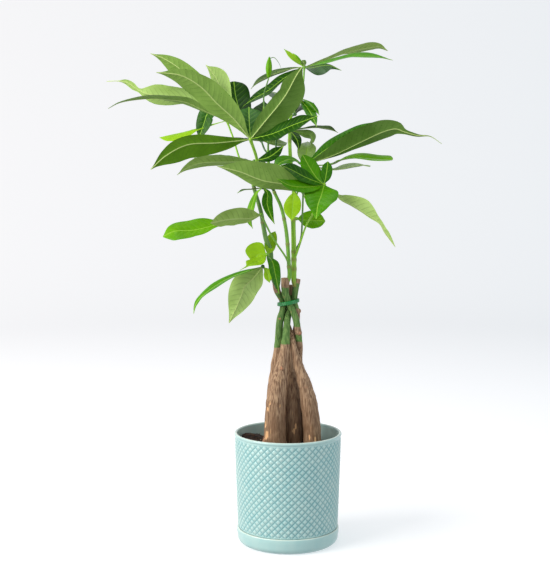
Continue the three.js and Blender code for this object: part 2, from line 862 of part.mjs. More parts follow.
        path: [[-43, -22, 496], [-50, -14, 478], [-54, -12, 458], [-49, -12, 446]],
      },
    ],
  },
  leaf_15: {
    carrier: 'shoot_2',
    finish: FINISH.leafDark,
    stalk: [[-24, 1, 515], [-17, 14, 545], [-16.4, 20, 572], [-6, 32, 596], [10, 42, 606]],
    blades: [
      { width: 36, faces: UP, path: [[20, 92, 622], [24, 148, 618]] },
      { width: 34, faces: UP, path: [[-8, 88, 630], [-22, 134, 644]] },
      { width: 26, faces: [[0, -0.5, 0.8]], path: [[6, 70, 630], [-2, 108, 650]] },
    ],
  },
  leaf_16: {
    carrier: 'shoot_3',
    finish: FINISH.leaf,
    stalk: [[-49.2, 0, 510], [-51, 20, 516], [-56, 48, 532]],
    blades: [
      { width: 36, faces: UP, path: [[-98, 84, 546], [-146, 112, 540]] },
      { width: 36, faces: UP, path: [[-78, 104, 542], [-92, 156, 532]] },
      { width: 34, faces: UP, path: [[-50, 108, 538], [-44, 162, 524]] },
      { width: 30, outline: OUTLINE.small, faces: [[0, 0.3, 0.9]], path: [[-30, 82, 528], [-4, 118, 512]] },
    ],
  },
  leaf_17: {
    carrier: 'shoot_1',
    finish: FINISH.leaf,
    stalk: [[7.6, -1.6, 482], [10, 14, 488], [16, 34, 502]],
    blades: [
      { width: 34, faces: UP, path: [[34, 78, 512], [40, 124, 500]] },
      { width: 36, faces: UP, path: [[8, 92, 512], [-6, 146, 500]] },
      { width: 30, faces: [[0, -0.3, 1]], path: [[30, 56, 494], [40, 84, 474]] },
    ],
  },
  leaf_18: {
    carrier: 'shoot_3',
    finish: FINISH.leaf,
    stalk: [[-24.6, -2, 404], [-27, -13, 408], [-29, -24, 411]],
    blades: [
      {
        width: 24,
        outline: OUTLINE.tailed,
        faces: [[-0.3, -0.6, 0.7]],
        path: [[-42, -38, 402], [-54, -50, 398], [-66, -60, 392]],
      },
      {
        width: 24,
        outline: OUTLINE.round,
        faces: [[0, -0.9, 0.3]],
        left: [0.5],
        right: [1.5],
        path: [[-41, -22, 411], [-50, -24, 401]],
      },
      { width: 17, outline: OUTLINE.round, faces: [[0.3, -0.8, 0.4]], path: [[-25, 6, 425], [-18, 20, 441]] },
      {
        width: 19,
        outline: OUTLINE.full,
        faces: [[0.5, -0.7, 0.4]],
        path: [[-22, -40, 402], [-18, -52, 385], [-13, -58, 360]],
      },
    ],
  },
};

// Closed young leaves on thin stalks: route to the bud's foot, then the bud's tip.
const BUDS = {
  bud_1: {
    carrier: 'shoot_2',
    stalk: [[-28, 12, 554], [-28, 4, 582], [-34, -3, 625], [-27, -9, 653]],
    tip: [-26, -12, 681],
    radius: 4.6,
  },
};

// Reads values that are spread evenly from foot to tip, at a share of the length.
function spread(values, along) {
  const spot = along * (values.length - 1);
  const low = Math.max(0, Math.min(Math.floor(spot), values.length - 2));
  const high = Math.min(low + 1, values.length - 1);
  return THREE.MathUtils.lerp(values[low], values[high], spot - low);
}

// One leaflet as a thin closed sheet, folded a little along its midrib.
function bladeSolid(hub, blade) {
  const start = vector(hub);
  const first = vector(blade.path[0]);
  start.lerp(first, (HUB_RADIUS * BLADE.footInHub) / start.distanceTo(first));
  const curve = routeOf([start.toArray(), ...blade.path]);
  const halves = { '-1': blade.left ?? [1], 0: [0], 1: blade.right ?? [1] };
  const stations = blade.outline ?? OUTLINE.oblong;
  const positions = [];
  for (const side of [1, -1]) {
    for (const [along, share] of stations) {
      const middle = curve.getPointAt(along);
      const ahead = curve.getTangentAt(along);
      const face = vector([0, 1, 2].map((axis) => spread(blade.faces.map((way) => way[axis]), along)));
      const normal = face.addScaledVector(ahead, -face.dot(ahead)).normalize();
      const across = ahead.clone().cross(normal);
      const least = along < 0.5 ? BLADE.footHalf : BLADE.tipHalf;
      for (const edge of [-1, 0, 1]) {
        const half = (blade.width / 2) * share * spread(halves[edge], along);
        const reach = Math.abs(edge) * Math.max(least, half);
        const lift = BLADE.fold * reach + (side * BLADE.thickness) / 2;
        const point = middle.clone().addScaledVector(across, edge * reach).addScaledVector(normal, lift);
        positions.push(point.x, point.y, point.z);
      }
    }
  }
  const index = [];
  const rows = stations.length;
  const corner = (side, row, edge) => (side * rows + row) * 3 + edge;
  const quad = (a, b, c, d) => index.push(a, b, c, a, c, d);
  for (let row = 0; row < rows - 1; row += 1) {
    for (const edge of [0, 1]) {
      const cell = [[row, edge], [row, edge + 1], [row + 1, edge + 1], [row + 1, edge]];
      quad(...cell.map(([r, e]) => corner(0, r, e)));
      const [a, b, c, d] = cell.map(([r, e]) => corner(1, r, e));
      index.push(a, c, b, a, d, c);
    }
    quad(corner(0, row, 0), corner(0, row + 1, 0), corner(1, row + 1, 0), corner(1, row, 0));
    quad(corner(0, row + 1, 2), corner(0, row, 2), corner(1, row, 2), corner(1, row + 1, 2));
  }
  for (const edge of [0, 1]) {
    quad(corner(0, 0, edge + 1), corner(0, 0, edge), corner(1, 0, edge), corner(1, 0, edge + 1));
    const last = rows - 1;
    quad(corner(0, last, edge), corner(0, last, edge + 1), corner(1, last, edge + 1), corner(1, last, edge));
  }
  const geometry = new THREE.BufferGeometry();
  geometry.setAttribute('position', new THREE.Float32BufferAttribute(positions, 3));
  geometry.setIndex(index);
  const solid = toSolid(geometry);
  return solid.volume() > 0 ? solid : toSolid(flipped(geometry));
}

function stalkSolid(points, foot, tip) {
  const radiusAt = (along) => THREE.MathUtils.lerp(foot, tip, Math.min(1, along / STALK.slimFrom));
  return stemSolid(routeOf(points), radiusAt, STALK.sides, STALK.ringsPerSpan * (points.length - 1));
}

function carrierSolid(name, grow) {
  return name.startsWith('trunk') ? trunkSolid(name, grow) : shootSolid(name, grow);
}

function leafSolid(leaf) {
  const hub = leaf.stalk[leaf.stalk.length - 1];
  const knuckle = toSolid(new THREE.OctahedronGeometry(HUB_RADIUS, 0).translate(...hub));
  const radius = STALK.radius * (leaf.stout ?? 1);
  const stalk = stalkSolid(leaf.stalk, radius * STALK.footFactor, radius);
  const blades = leaf.blades.map((blade) => bladeSolid(hub, blade));
  return mainBody(join([stalk, knuckle, ...blades]).subtract(carrierSolid(leaf.carrier, SEAT)));
}

function budSolid(bud) {
  const foot = bud.stalk[bud.stalk.length - 1];
  const stalk = stalkSolid(bud.stalk, STALK.radius * BUD.stalkFoot, STALK.radius * BUD.stalkTip);
  const radiusAt = (along) => {
    const share = Math.min(BUD.tipShare, THREE.MathUtils.lerp(BUD.footShare, 1, along));
    return Math.max(BUD.leastRadius, bud.radius * Math.sin(Math.PI * share));
  };
  const body = stemSolid(routeOf([foot, bud.tip]), radiusAt, BUD.sides, BUD.rings);
  return mainBody(join([stalk, body]).subtract(carrierSolid(bud.carrier, SEAT)));
}

// Soil: fills the pot to its surface, a little higher round the trunks, with a plain hole for each trunk.
function soilGeometry(trunkNames) {
  const wall = CAVITY.slice(0, 3).map(([radius, height]) => [radius - SEAT * 2, height + SEAT]);
  const edgeRadius = CAVITY[2][0] - SEAT;
  const body = turned(
    [
      [0, POT.floor + SEAT],
      ...wall,
      [edgeRadius, SOIL.top - SOIL.edge],
      [edgeRadius - SOIL.edgeWidth, SOIL.top],
      [SOIL.dipRadius, SOIL.top - SOIL.dip],
      [SOIL.crownRadius, SOIL.top + SOIL.crown],
      [0, SOIL.top + SOIL.crown],
    ],
    SOIL.segments,
  );
  let soil = toSolid(body);
  for (const name of trunkNames) soil = soil.subtract(trunkSolid(name, SEAT));
  return toGeometry(soil);
}

// Tie: two turns of wire pressed together, with the two ends twisted and bent down at the back.
// Each turn starts as a ring of radius 1 with a wire of radius ringWire, and gets its real sizes here.
function tieGeometry() {
  const ringWire = 0.1;
  const scale = TIE.wire / ringWire;
  const turns = [-0.5, 0.5].map((level) => {
    const ring = new THREE.TorusGeometry(1, ringWire, TIE.sides, TIE.segments);
    const position = ring.attributes.position;
    for (let index = 0; index < position.count; index += 1) {
      const angle = Math.atan2(position.getY(index), position.getX(index));
      const out = (Math.hypot(position.getX(index), position.getY(index)) - 1) * scale;
      const x = TIE.middle + (TIE.halfWidth + out) * Math.cos(angle);
      const y = (TIE.halfDepth + out) * Math.sin(angle);
      const z = TIE.height + x * TIE.tilt + level * TIE.pitch + position.getZ(index) * scale;
      position.setXYZ(index, x, y, z);
    }
    return toSolid(ring);
  });
  const route = TIE_TAIL.route.map(([x, behind, above]) => [x, TIE.halfDepth + behind, TIE.height + above]);
  const radius = TIE.wire * TIE_TAIL.thickness;
  const tail = stemSolid(routeOf(route), () => radius, TIE_TAIL.sides, TIE_TAIL.rings);
  return toGeometry(join([...turns, tail]));
}

const group = new THREE.Group();

function place(name, geometry, material) {
  const mesh = new THREE.Mesh(geometry, material);
  mesh.name = name;
  group.add(mesh);
}

const trunkNames = Object.keys(TRUNKS);
place('saucer', saucerGeometry(), FINISH.glaze);
place('pot', potGeometry(), FINISH.glaze);
place('soil', soilGeometry(trunkNames), FINISH.soil);
for (const name of trunkNames) place(name, toGeometry(trunkSolid(name, 0)), FINISH.bark);
place('tie', tieGeometry(), FINISH.wire);
for (const [name, shoot] of Object.entries(SHOOTS)) {
  const solid = shootSolid(name, 0).subtract(trunkSolid(shoot.carrier, SEAT));
  place(name, toGeometry(mainBody(solid)), FINISH.shoot);
}
for (const [name, leaf] of Object.entries(LEAVES)) place(name, toGeometry(leafSolid(leaf)), leaf.finish);
for (const [name, bud] of Object.entries(BUDS)) place(name, toGeometry(budSolid(bud)), FINISH.bud);

export default group;
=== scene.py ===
"""The looks of a potted money tree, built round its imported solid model.

Five woody trunks are twisted and tied together, green shoots carry the palmate leaves, and all stand in
a glazed stoneware pot on its saucer. The frame is the solid model's: +Z is up and -Y faces the viewer.
Sizes are in millimetres and become metres when a mesh is made.
"""

import logging
import math
import random
from collections.abc import Callable, Sequence
from dataclasses import dataclass, field
from enum import Enum

import bmesh
import bpy
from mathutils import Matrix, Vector, noise


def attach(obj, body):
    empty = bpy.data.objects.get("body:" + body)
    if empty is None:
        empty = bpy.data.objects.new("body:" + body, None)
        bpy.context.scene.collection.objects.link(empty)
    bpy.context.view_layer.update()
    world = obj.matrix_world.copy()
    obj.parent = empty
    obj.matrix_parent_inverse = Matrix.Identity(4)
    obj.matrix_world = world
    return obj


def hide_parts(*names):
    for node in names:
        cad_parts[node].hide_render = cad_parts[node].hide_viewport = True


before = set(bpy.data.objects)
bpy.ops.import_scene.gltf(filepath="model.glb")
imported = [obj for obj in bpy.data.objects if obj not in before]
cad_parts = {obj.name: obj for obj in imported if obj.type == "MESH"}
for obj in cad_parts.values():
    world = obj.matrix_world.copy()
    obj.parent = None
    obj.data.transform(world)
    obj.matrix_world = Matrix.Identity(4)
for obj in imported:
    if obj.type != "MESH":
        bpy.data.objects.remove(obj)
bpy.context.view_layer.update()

MM = 0.001
SEED = 20
log = logging.getLogger("money_tree")

Point = tuple[float, float, float]
Ring = list[Vector]
Tree = bpy.types.NodeTree


def linear(code: str) -> tuple[float, float, float, float]:
    """Turns an sRGB hex colour into linear light.

    Args:
        code: The colour as # and six hex digits.

    Returns:
        Red, green, blue and an alpha of 1.
    """
    channels = [int(code[at : at + 2], 16) / 255 for at in (1, 3, 5)]
    light = [c / 12.92 if c <= 0.04045 else ((c + 0.055) / 1.055) ** 2.4 for c in channels]
    return (light[0], light[1], light[2], 1.0)


def scale_of(size_mm: float) -> float:
    """Gives the texture scale at which a pattern repeats about every size_mm."""
    return 1 / (size_mm * MM)


def feed(tree: Tree, node: bpy.types.Node, settings: dict) -> None:
    """Sets up a node.

    Args:
        tree: The material's node tree.
        node: The node.
        settings: For an input, by its name or number, a value, a hex colour or the output socket that
            feeds it. For a property, by its name, its value.
    """
    for key, value in settings.items():
        if isinstance(value, str) and value.startswith("#"):
            value = linear(value)
        if isinstance(value, bpy.types.NodeSocket):
            tree.links.new(value, node.inputs[key])
        elif isinstance(key, int) or key in node.inputs:
            node.inputs[key].default_value = value
        else:
            setattr(node, key, value)


def add(tree: Tree, kind: str, settings: dict | None = None, output: str | int = 0) -> bpy.types.NodeSocket:
    """Adds one node to a material.

    Args:
        tree: The material's node tree.
        kind: Blender's name of the node, less its first word, ShaderNode.
        settings: Its values and links, as feed takes them.
        output: The name or number of the output that is wanted.

    Returns:
        That output's socket.
    """
    node = tree.nodes.new(f"ShaderNode{kind}")
    feed(tree, node, settings or {})
    return node.outputs[output]


def lerp(start: float, end: float, share: float) -> float:
    """Gives the value at a share of the way from start to end."""
    return start + (end - start) * share


def smooth(low: float, high: float, value: float) -> float:
    """Rises smoothly from 0 at low to 1 at high."""
    share = max(0.0, min(1.0, (value - low) / (high - low)))
    return share * share * (3 - 2 * share)


def curve(knots: Sequence[tuple[float, float]], at: float) -> float:
    """Reads a smooth curve through knots.

    Args:
        knots: Pairs of a place and the value there, in order.
        at: The place to read.

    Returns:
        The value.
    """
    last = len(knots) - 1
    high = next((n for n in range(1, last + 1) if knots[n][0] >= at), last)
    low = high - 1
    (x1, y1), (x2, y2) = knots[low], knots[high]
    x0, y0 = knots[max(low - 1, 0)]
    x3, y3 = knots[min(high + 1, last)]
    span = x2 - x1
    share = (at - x1) / span
    slope1 = (y2 - y0) / (x2 - x0) * span
    slope2 = (y3 - y1) / (x3 - x1) * span
    ahead = share * share * (3 - 2 * share)
    bend = share * (1 - share)
    return lerp(y1, y2, ahead) + bend * (slope1 * (1 - share) - slope2 * share)


def spread(values: Sequence[float] | Sequence[Vector], along: float) -> float | Vector:
    """Reads values that are spread evenly from foot to tip, at a share of the length.

    Args:
        values: The values, from foot to tip.
        along: The share of the length.

    Returns:
        The value there, between its two neighbours.
    """
    spot = along * (len(values) - 1)
    low = min(int(spot), max(0, len(values) - 2))
    high = min(low + 1, len(values) - 1)
    return values[low] + (values[high] - values[low]) * (spot - low)


class Route:
    """A smooth centripetal line through given points, walked by its own length."""

    DIVISIONS = 200

    def __init__(self, points: Sequence[Point]) -> None:
        """Measures the line through the points.

        Args:
            points: The points, in order.
        """
        inner = [Vector(point) for point in points]
        self.points = [inner[0] * 2 - inner[1], *inner, inner[-1] * 2 - inner[-2]]
        self.spans = len(inner) - 1
        samples = [self.spot(at / self.DIVISIONS) for at in range(self.DIVISIONS + 1)]
        self.lengths = [0.0]
        for start, end in zip(samples, samples[1:]):
            self.lengths.append(self.lengths[-1] + (end - start).length)

    @property
    def length(self) -> float:
        """The line's whole length."""
        return self.lengths[-1]

    def spot(self, t: float) -> Vector:
        """Gives the point at the curve's own parameter.

        Args:
            t: The parameter, from 0 at the first point to 1 at the last.

        Returns:
            The point on the line.
        """
        span = min(int(t * self.spans), self.spans - 1)
        share = t * self.spans - span
        p0, p1, p2, p3 = self.points[span : span + 4]
        d1 = (p2 - p1).length ** 0.5
        d0 = (p1 - p0).length ** 0.5 or d1
        d2 = (p3 - p2).length ** 0.5 or d1
        t1 = ((p1 - p0) / d0 - (p2 - p0) / (d0 + d1) + (p2 - p1) / d1) * d1
        t2 = ((p2 - p1) / d1 - (p3 - p1) / (d1 + d2) + (p3 - p2) / d2) * d1
        cube = (p1 * 2 - p2 * 2 + t1 + t2) * share**3
        return cube + (p2 * 3 - p1 * 3 - t1 * 2 - t2) * share**2 + t1 * share + p1

    def at(self, share: float) -> Vector:
        """Gives the point at a share of the line's length, from 0 to 1.

        Args:
            share: The share of the length, from 0 to 1.

        Returns:
            The point on the line.
        """
        target = max(0.0, min(1.0, share)) * self.length
        low, high = 0, self.DIVISIONS
        while high - low > 1:
            middle = (low + high) // 2
            if self.lengths[middle] <= target:
                low = middle
            else:
                high = middle
        step = self.lengths[high] - self.lengths[low]
        return self.spot((low + (target - self.lengths[low]) / step) / self.DIVISIONS)

    def ahead(self, share: float) -> Vector:
        """Gives the direction of the line at a share of its length."""
        reach = 0.004
        return (self.at(min(1, share + reach)) - self.at(max(0, share - reach))).normalized()

    def sections(self, count: int) -> list[tuple[float, Vector, Vector, Vector]]:
        """Spreads section planes along the line that don't turn about it.

        Args:
            count: How many stretches lie between the first plane and the last.

        Returns:
            For each plane its share of the length, its middle and its two unit directions.
        """
        found = []
        side = self.ahead(0).orthogonal().normalized()
        for step in range(count + 1):
            share = step / count
            ahead = self.ahead(share)
            side = (side - ahead * side.dot(ahead)).normalized()
            found.append((share, self.at(share), side, ahead.cross(side)))
        return found


@dataclass
class Draft:
    """The points, faces and per-point values of a piece while it is being built, in millimetres."""

    labels: tuple[str, ...] = ()
    points: list[Vector] = field(default_factory=list)
    faces: list[tuple[int, ...]] = field(default_factory=list)
    slots: list[int] = field(default_factory=list)
    values: list[tuple[float, ...]] = field(default_factory=list)

    def loft(
        self,
        rings: Sequence[Ring],
        values: Sequence[Sequence[tuple[float, ...]]] | None = None,
        slot_of: Callable[[int], int] = lambda column: 0,
        closed: bool = False,
    ) -> None:
        """Skins a closed surface over rings of points.

        Args:
            rings: The rings, all with the same number of points.
            values: For each point of each ring a value for each of the draft's labels.
            slot_of: Gives the material slot of a column of faces.
            closed: Joins the last ring to the first. Otherwise both ends get a cap.
        """
        first = len(self.points)
        size = len(rings[0])
        plain = (0.0,) * len(self.labels)
        for at, ring in enumerate(rings):
            self.points.extend(ring)
            self.values.extend(values[at] if values else [plain] * size)
        pairs = len(rings) if closed else len(rings) - 1
        for row in range(pairs):
            low = first + row * size
            high = first + ((row + 1) % len(rings)) * size
            for column in range(size):
                beside = (column + 1) % size
                self.faces.append((low + column, low + beside, high + beside, high + column))
                self.slots.append(slot_of(column))
        if not closed:
            self.cap(first, size)
            self.cap(first + (len(rings) - 1) * size, size)

    def cap(self, start: int, size: int) -> None:
        """Closes a ring of points that was just lofted with a fan of faces round its middle.

        Args:
            start: The number of the ring's first point.
            size: How many points it has.
        """
        ring = self.points[start : start + size]
        middle = len(self.points)
        self.points.append(sum(ring, Vector()) / size)
        rows = self.values[start : start + size]
        self.values.append(tuple(sum(column) / size for column in zip(*rows)) if self.labels else ())
        for column in range(size):
            self.faces.append((start + column, start + (column + 1) % size, middle))
            self.slots.append(0)

    def piece(
        self,
        name: str,
        finishes: Sequence["Finish"],
        replaces: str | None = None,
        crease_deg: float = 50,
    ) -> None:
        """Makes the object and hands it to the frame.

        Args:
            name: The piece's name.
            finishes: Its finishes, in the order of the faces' slots.
            replaces: The solid that this piece stands for.
            crease_deg: Edges sharper than this stay sharp.
        """
        mesh = bpy.data.meshes.new(name)
        mesh.from_pydata([point * MM for point in self.points], [], self.faces)
        mesh.polygons.foreach_set("material_index", self.slots)
        for at, label in enumerate(self.labels):
            layer = mesh.attributes.new(label, "FLOAT", "POINT")
            layer.data.foreach_set("value", [value[at] for value in self.values])
        shape = bmesh.new()
        shape.from_mesh(mesh)
        bmesh.ops.recalc_face_normals(shape, faces=shape.faces)
        shape.to_mesh(mesh)
        shape.free()
        mesh.polygons.foreach_set("use_smooth", [True] * len(mesh.polygons))
        mesh.set_sharp_from_angle(angle=math.radians(crease_deg))
        for finish in finishes:
            mesh.materials.append(finish.material())
        thing = bpy.data.objects.new(name, mesh)
        bpy.context.scene.collection.objects.link(thing)
        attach(thing, "root")
        if replaces:
            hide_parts(replaces)
        log.info("%s: %d points, %d faces", name, len(mesh.vertices), len(mesh.polygons))


@dataclass(frozen=True)
class Finish:
    """What a surface is made of. Each kind of finish draws its own nodes."""

    name: str

    def material(self) -> bpy.types.Material:
        """Gives the finish's material, made when it is first asked for.

        Returns:
            The material.
        """
        found = bpy.data.materials.get(self.name)
        if found:
            return found
        made = bpy.data.materials.new(self.name)
        made.use_nodes = True
        self.draw(made.node_tree, made.node_tree.nodes["Principled BSDF"])
        return made

    def draw(self, tree: Tree, shader: bpy.types.Node) -> None:
        """Draws the nodes that feed the shader."""
        raise NotImplementedError


@dataclass(frozen=True)
class GlazedStoneware(Finish):
    """Pressed stoneware under one poured coat of teal gloss glaze.

    The eye sees wet, soft highlights and a deeper blue-green in the grooves, partly where the glaze pools
    and partly painted shade. Cream shows where the glaze runs thin over tips and edges, and also stands in
    part for painted highlights on the relief's tips and the lip's top and for painted light on the inner
    wall. The mesh says how high a point stands (height) and how much cream it gets (thin).
    """

    # The grooves' colour: partly glaze pooling there, partly painted shade in the grooves.
    pooled_glaze_and_groove_shade: str = "#529AA3"
    body: str = "#A8D1D1"
    # thin is the cream colour: thin glaze, and also painted highlights and painted light.
    thin: str = "#E9F0E4"
    mottle_mm: float = 16
    mottle_share: float = 0.14
    pinhole_mm: float = 1.1
    groove: float = 0.55

    def draw(self, tree: Tree, shader: bpy.types.Node) -> None:
        """Draws the glaze.

        Args:
            tree: The material's node tree.
            shader: Its Principled shader.
        """
        place = add(tree, "TexCoord", output="Object")
        height = add(tree, "Attribute", {"attribute_name": "height"}, "Fac")
        thin = add(tree, "Attribute", {"attribute_name": "thin"}, "Fac")
        mottle = add(tree, "TexNoise", {"Scale": scale_of(self.mottle_mm), "Detail": 4.0, "Vector": place})
        rise = {"From Max": self.groove, "interpolation_type": "SMOOTHSTEP", "Value": height}
        depth = add(tree, "MapRange", rise)
        glaze = add(tree, "MixRGB", {"Color1": self.pooled_glaze_and_groove_shade, "Color2": self.body, "Fac": depth})
        drift = {"From Min": 0.35, "From Max": 0.7, "To Max": self.mottle_share, "Value": mottle}
        cloud = add(tree, "MapRange", drift)
        mottled = add(tree, "MixRGB", {"Color1": glaze, "Color2": self.thin, "Fac": cloud})
        worn = add(tree, "MapRange", {"From Min": 0.3, "From Max": 0.7, "To Min": 0.7, "Value": mottle})
        # The cream cover from the thin attribute is thin glaze with painted highlights and painted light,
        # broken up by the mottle.
        cover = add(tree, "Math", {"operation": "MULTIPLY", 0: thin, 1: worn})
        colour = add(tree, "MixRGB", {"Color1": mottled, "Color2": self.thin, "Fac": cover})
        pinholes = add(tree, "TexNoise", {"Scale": scale_of(self.pinhole_mm), "Vector": place})
        bump = add(tree, "Bump", {"Strength": 0.08, "Distance": 0.3 * MM, "Height": pinholes})
        feed(tree, shader, {"Base Color": colour, "Normal": bump, "Roughness": 0.2, "IOR": 1.52})


@dataclass(frozen=True)
class PottingMix(Finish):
    """Loose peat and fine bark: nearly black, dull, with brown fibres between the crumbs."""

    dark: str = "#120C08"
    brown: str = "#4A3020"
    crumb_mm: float = 3.2

    def draw(self, tree: Tree, shader: bpy.types.Node) -> None:
        """Draws the crumbs.

        Args:
            tree: The material's node tree.
            shader: Its Principled shader.
        """
        place = add(tree, "TexCoord", output="Object")
        crumbs = add(tree, "TexNoise", {"Scale": scale_of(self.crumb_mm), "Detail": 6.0, "Vector": place})
        share = add(tree, "MapRange", {"From Min": 0.42, "From Max": 0.68, "Value": crumbs})
        colour = add(tree, "MixRGB", {"Color1": self.dark, "Color2": self.brown, "Fac": share})
        bump = add(tree, "Bump", {"Strength": 0.6, "Distance": 1.2 * MM, "Height": crumbs})
        feed(tree, shader, {"Base Color": colour, "Normal": bump, "Roughness": 0.95})


@dataclass(frozen=True)
class Bark(Finish):
    """Thin pachira bark: dry, tan to grey-brown, finely split lengthwise, green and smoother above.

    The mesh says where the skin is still green (green), where bark has peeled to orange wood (peel) and
    where a twig was cut off (scar).
    """

    furrow: str = "#6C4F3A"
    ridge: str = "#C6A584"
    low: str = "#74543A"
    green_dark: str = "#3C6428"
    green_pale: str = "#74994F"
    peeled: str = "#E0B080"
    cut: str = "#B98465"
    fibre_mm: float = 1.5
    stretch: float = 0.1
    patch_mm: float = 17
    grain_mm: float = 0.9
    low_mm: tuple[float, float] = (170, 232)
    ragged: float = 2.4

    def draw(self, tree: Tree, shader: bpy.types.Node) -> None:
        """Draws the split bark, its green part and its bare wood.

        Args:
            tree: The material's node tree.
            shader: Its Principled shader.
        """
        place = add(tree, "TexCoord", output="Object")
        along = add(tree, "Mapping", {"Scale": (1, 1, self.stretch), "Vector": place})
        fibre = add(tree, "TexNoise", {"Scale": scale_of(self.fibre_mm), "Detail": 5.0, "Vector": along})
        patch = add(tree, "TexNoise", {"Scale": scale_of(self.patch_mm), "Detail": 3.0, "Vector": place})
        grain = add(tree, "TexNoise", {"Scale": scale_of(self.grain_mm), "Detail": 3.0, "Vector": place})
        split = add(tree, "MapRange", {"From Min": 0.37, "From Max": 0.63, "Value": fibre})
        wood = add(tree, "MixRGB", {"Color1": self.furrow, "Color2": self.ridge, "Fac": split})
        blotch = add(tree, "MapRange", {"From Min": 0.4, "From Max": 0.7, "To Max": 0.35, "Value": patch})
        rise = add(tree, "SeparateXYZ", {"Vector": place}, "Z")
        start, end = (height * MM for height in self.low_mm)
        foot = {"From Min": start, "From Max": end, "To Min": 0.5, "To Max": 0.0, "Value": rise}
        # The bark darkens towards the low brown in random blotches and towards the foot, below 232 mm.
        darker_share = add(tree, "Math", {"operation": "ADD", 0: blotch, 1: add(tree, "MapRange", foot)})
        colour = add(tree, "MixRGB", {"Color1": wood, "Color2": self.low, "Fac": darker_share})
        greens = {"Color1": self.green_dark, "Color2": self.green_pale, "Fac": split}
        skin = add(tree, "MixRGB", greens)
        strands = {"operation": "MULTIPLY_ADD", 0: fibre, 1: self.ragged, 2: -self.ragged / 2}
        edge = add(tree, "Math", strands)
        for label, tone in (("green", skin), ("peel", self.peeled), ("scar", self.cut)):
            mask = add(tree, "Attribute", {"attribute_name": label}, "Fac")
            summed = add(tree, "Math", {"operation": "ADD", 0: mask, 1: edge})
            share = add(tree, "MapRange", {"From Min": 0.4, "From Max": 0.6, "Value": summed})
            colour = add(tree, "MixRGB", {"Color1": colour, "Color2": tone, "Fac": share})
        relief = add(tree, "Math", {"operation": "MULTIPLY_ADD", 0: grain, 1: 0.4, 2: fibre})
        bump = add(tree, "Bump", {"Strength": 0.55, "Distance": 0.8 * MM, "Height": relief})
        feed(tree, shader, {"Base Color": colour, "Normal": bump, "Roughness": 0.78, "IOR": 1.45})


@dataclass(frozen=True)
class CoatedWire(Finish):
    """Soft wire in a glossy green plastic coat: small sharp highlights, faint kinks and painted glints of
    paler green in patches.
    """

    deep: str = "#056B2D"
    bright: str = "#119A4B"
    kink_mm: float = 4

    def draw(self, tree: Tree, shader: bpy.types.Node) -> None:
        """Draws the coat.

        Args:
            tree: The material's node tree.
            shader: Its Principled shader.
        """
        place = add(tree, "TexCoord", output="Object")
        kinks = add(tree, "TexNoise", {"Scale": scale_of(self.kink_mm), "Vector": place})
        # The paler green, mixed in by the kink noise, is painted glint.
        colour = add(tree, "MixRGB", {"Color1": self.deep, "Color2": self.bright, "Fac": kinks})
        bump = add(tree, "Bump", {"Strength": 0.3, "Distance": 0.5 * MM, "Height": kinks})
        feed(tree, shader, {"Base Color": colour, "Normal": bump, "Roughness": 0.18, "IOR": 1.5})


@dataclass(frozen=True)
class GreenStem(Finish):
    """Living green skin of shoots and leaf stalks: satin, paler streaks along it, dull at the nodes.

    The mesh says where the skin has turned corky (scar).
    """

    dark: str
    pale: str
    cork: str = "#8A6B45"
    streak_mm: float = 2.6
    stretch: float = 0.1

    def draw(self, tree: Tree, shader: bpy.types.Node) -> None:
        """Draws the streaked skin.

        Args:
            tree: The material's node tree.
            shader: Its Principled shader.
        """
        place = add(tree, "TexCoord", output="Object")
        along = add(tree, "Mapping", {"Scale": (1, 1, self.stretch), "Vector": place})
        streaks = add(tree, "TexNoise", {"Scale": scale_of(self.streak_mm), "Detail": 3.0, "Vector": along})
        share = add(tree, "MapRange", {"From Min": 0.35, "From Max": 0.65, "Value": streaks})
        skin = add(tree, "MixRGB", {"Color1": self.dark, "Color2": self.pale, "Fac": share})
        corky = add(tree, "Attribute", {"attribute_name": "scar"}, "Fac")
        colour = add(tree, "MixRGB", {"Color1": skin, "Color2": self.cork, "Fac": corky})
        bump = add(tree, "Bump", {"Strength": 0.2, "Distance": 0.3 * MM, "Height": streaks})
        feed(tree, shader, {"Base Color": colour, "Normal": bump, "Roughness": 0.42, "IOR": 1.45})


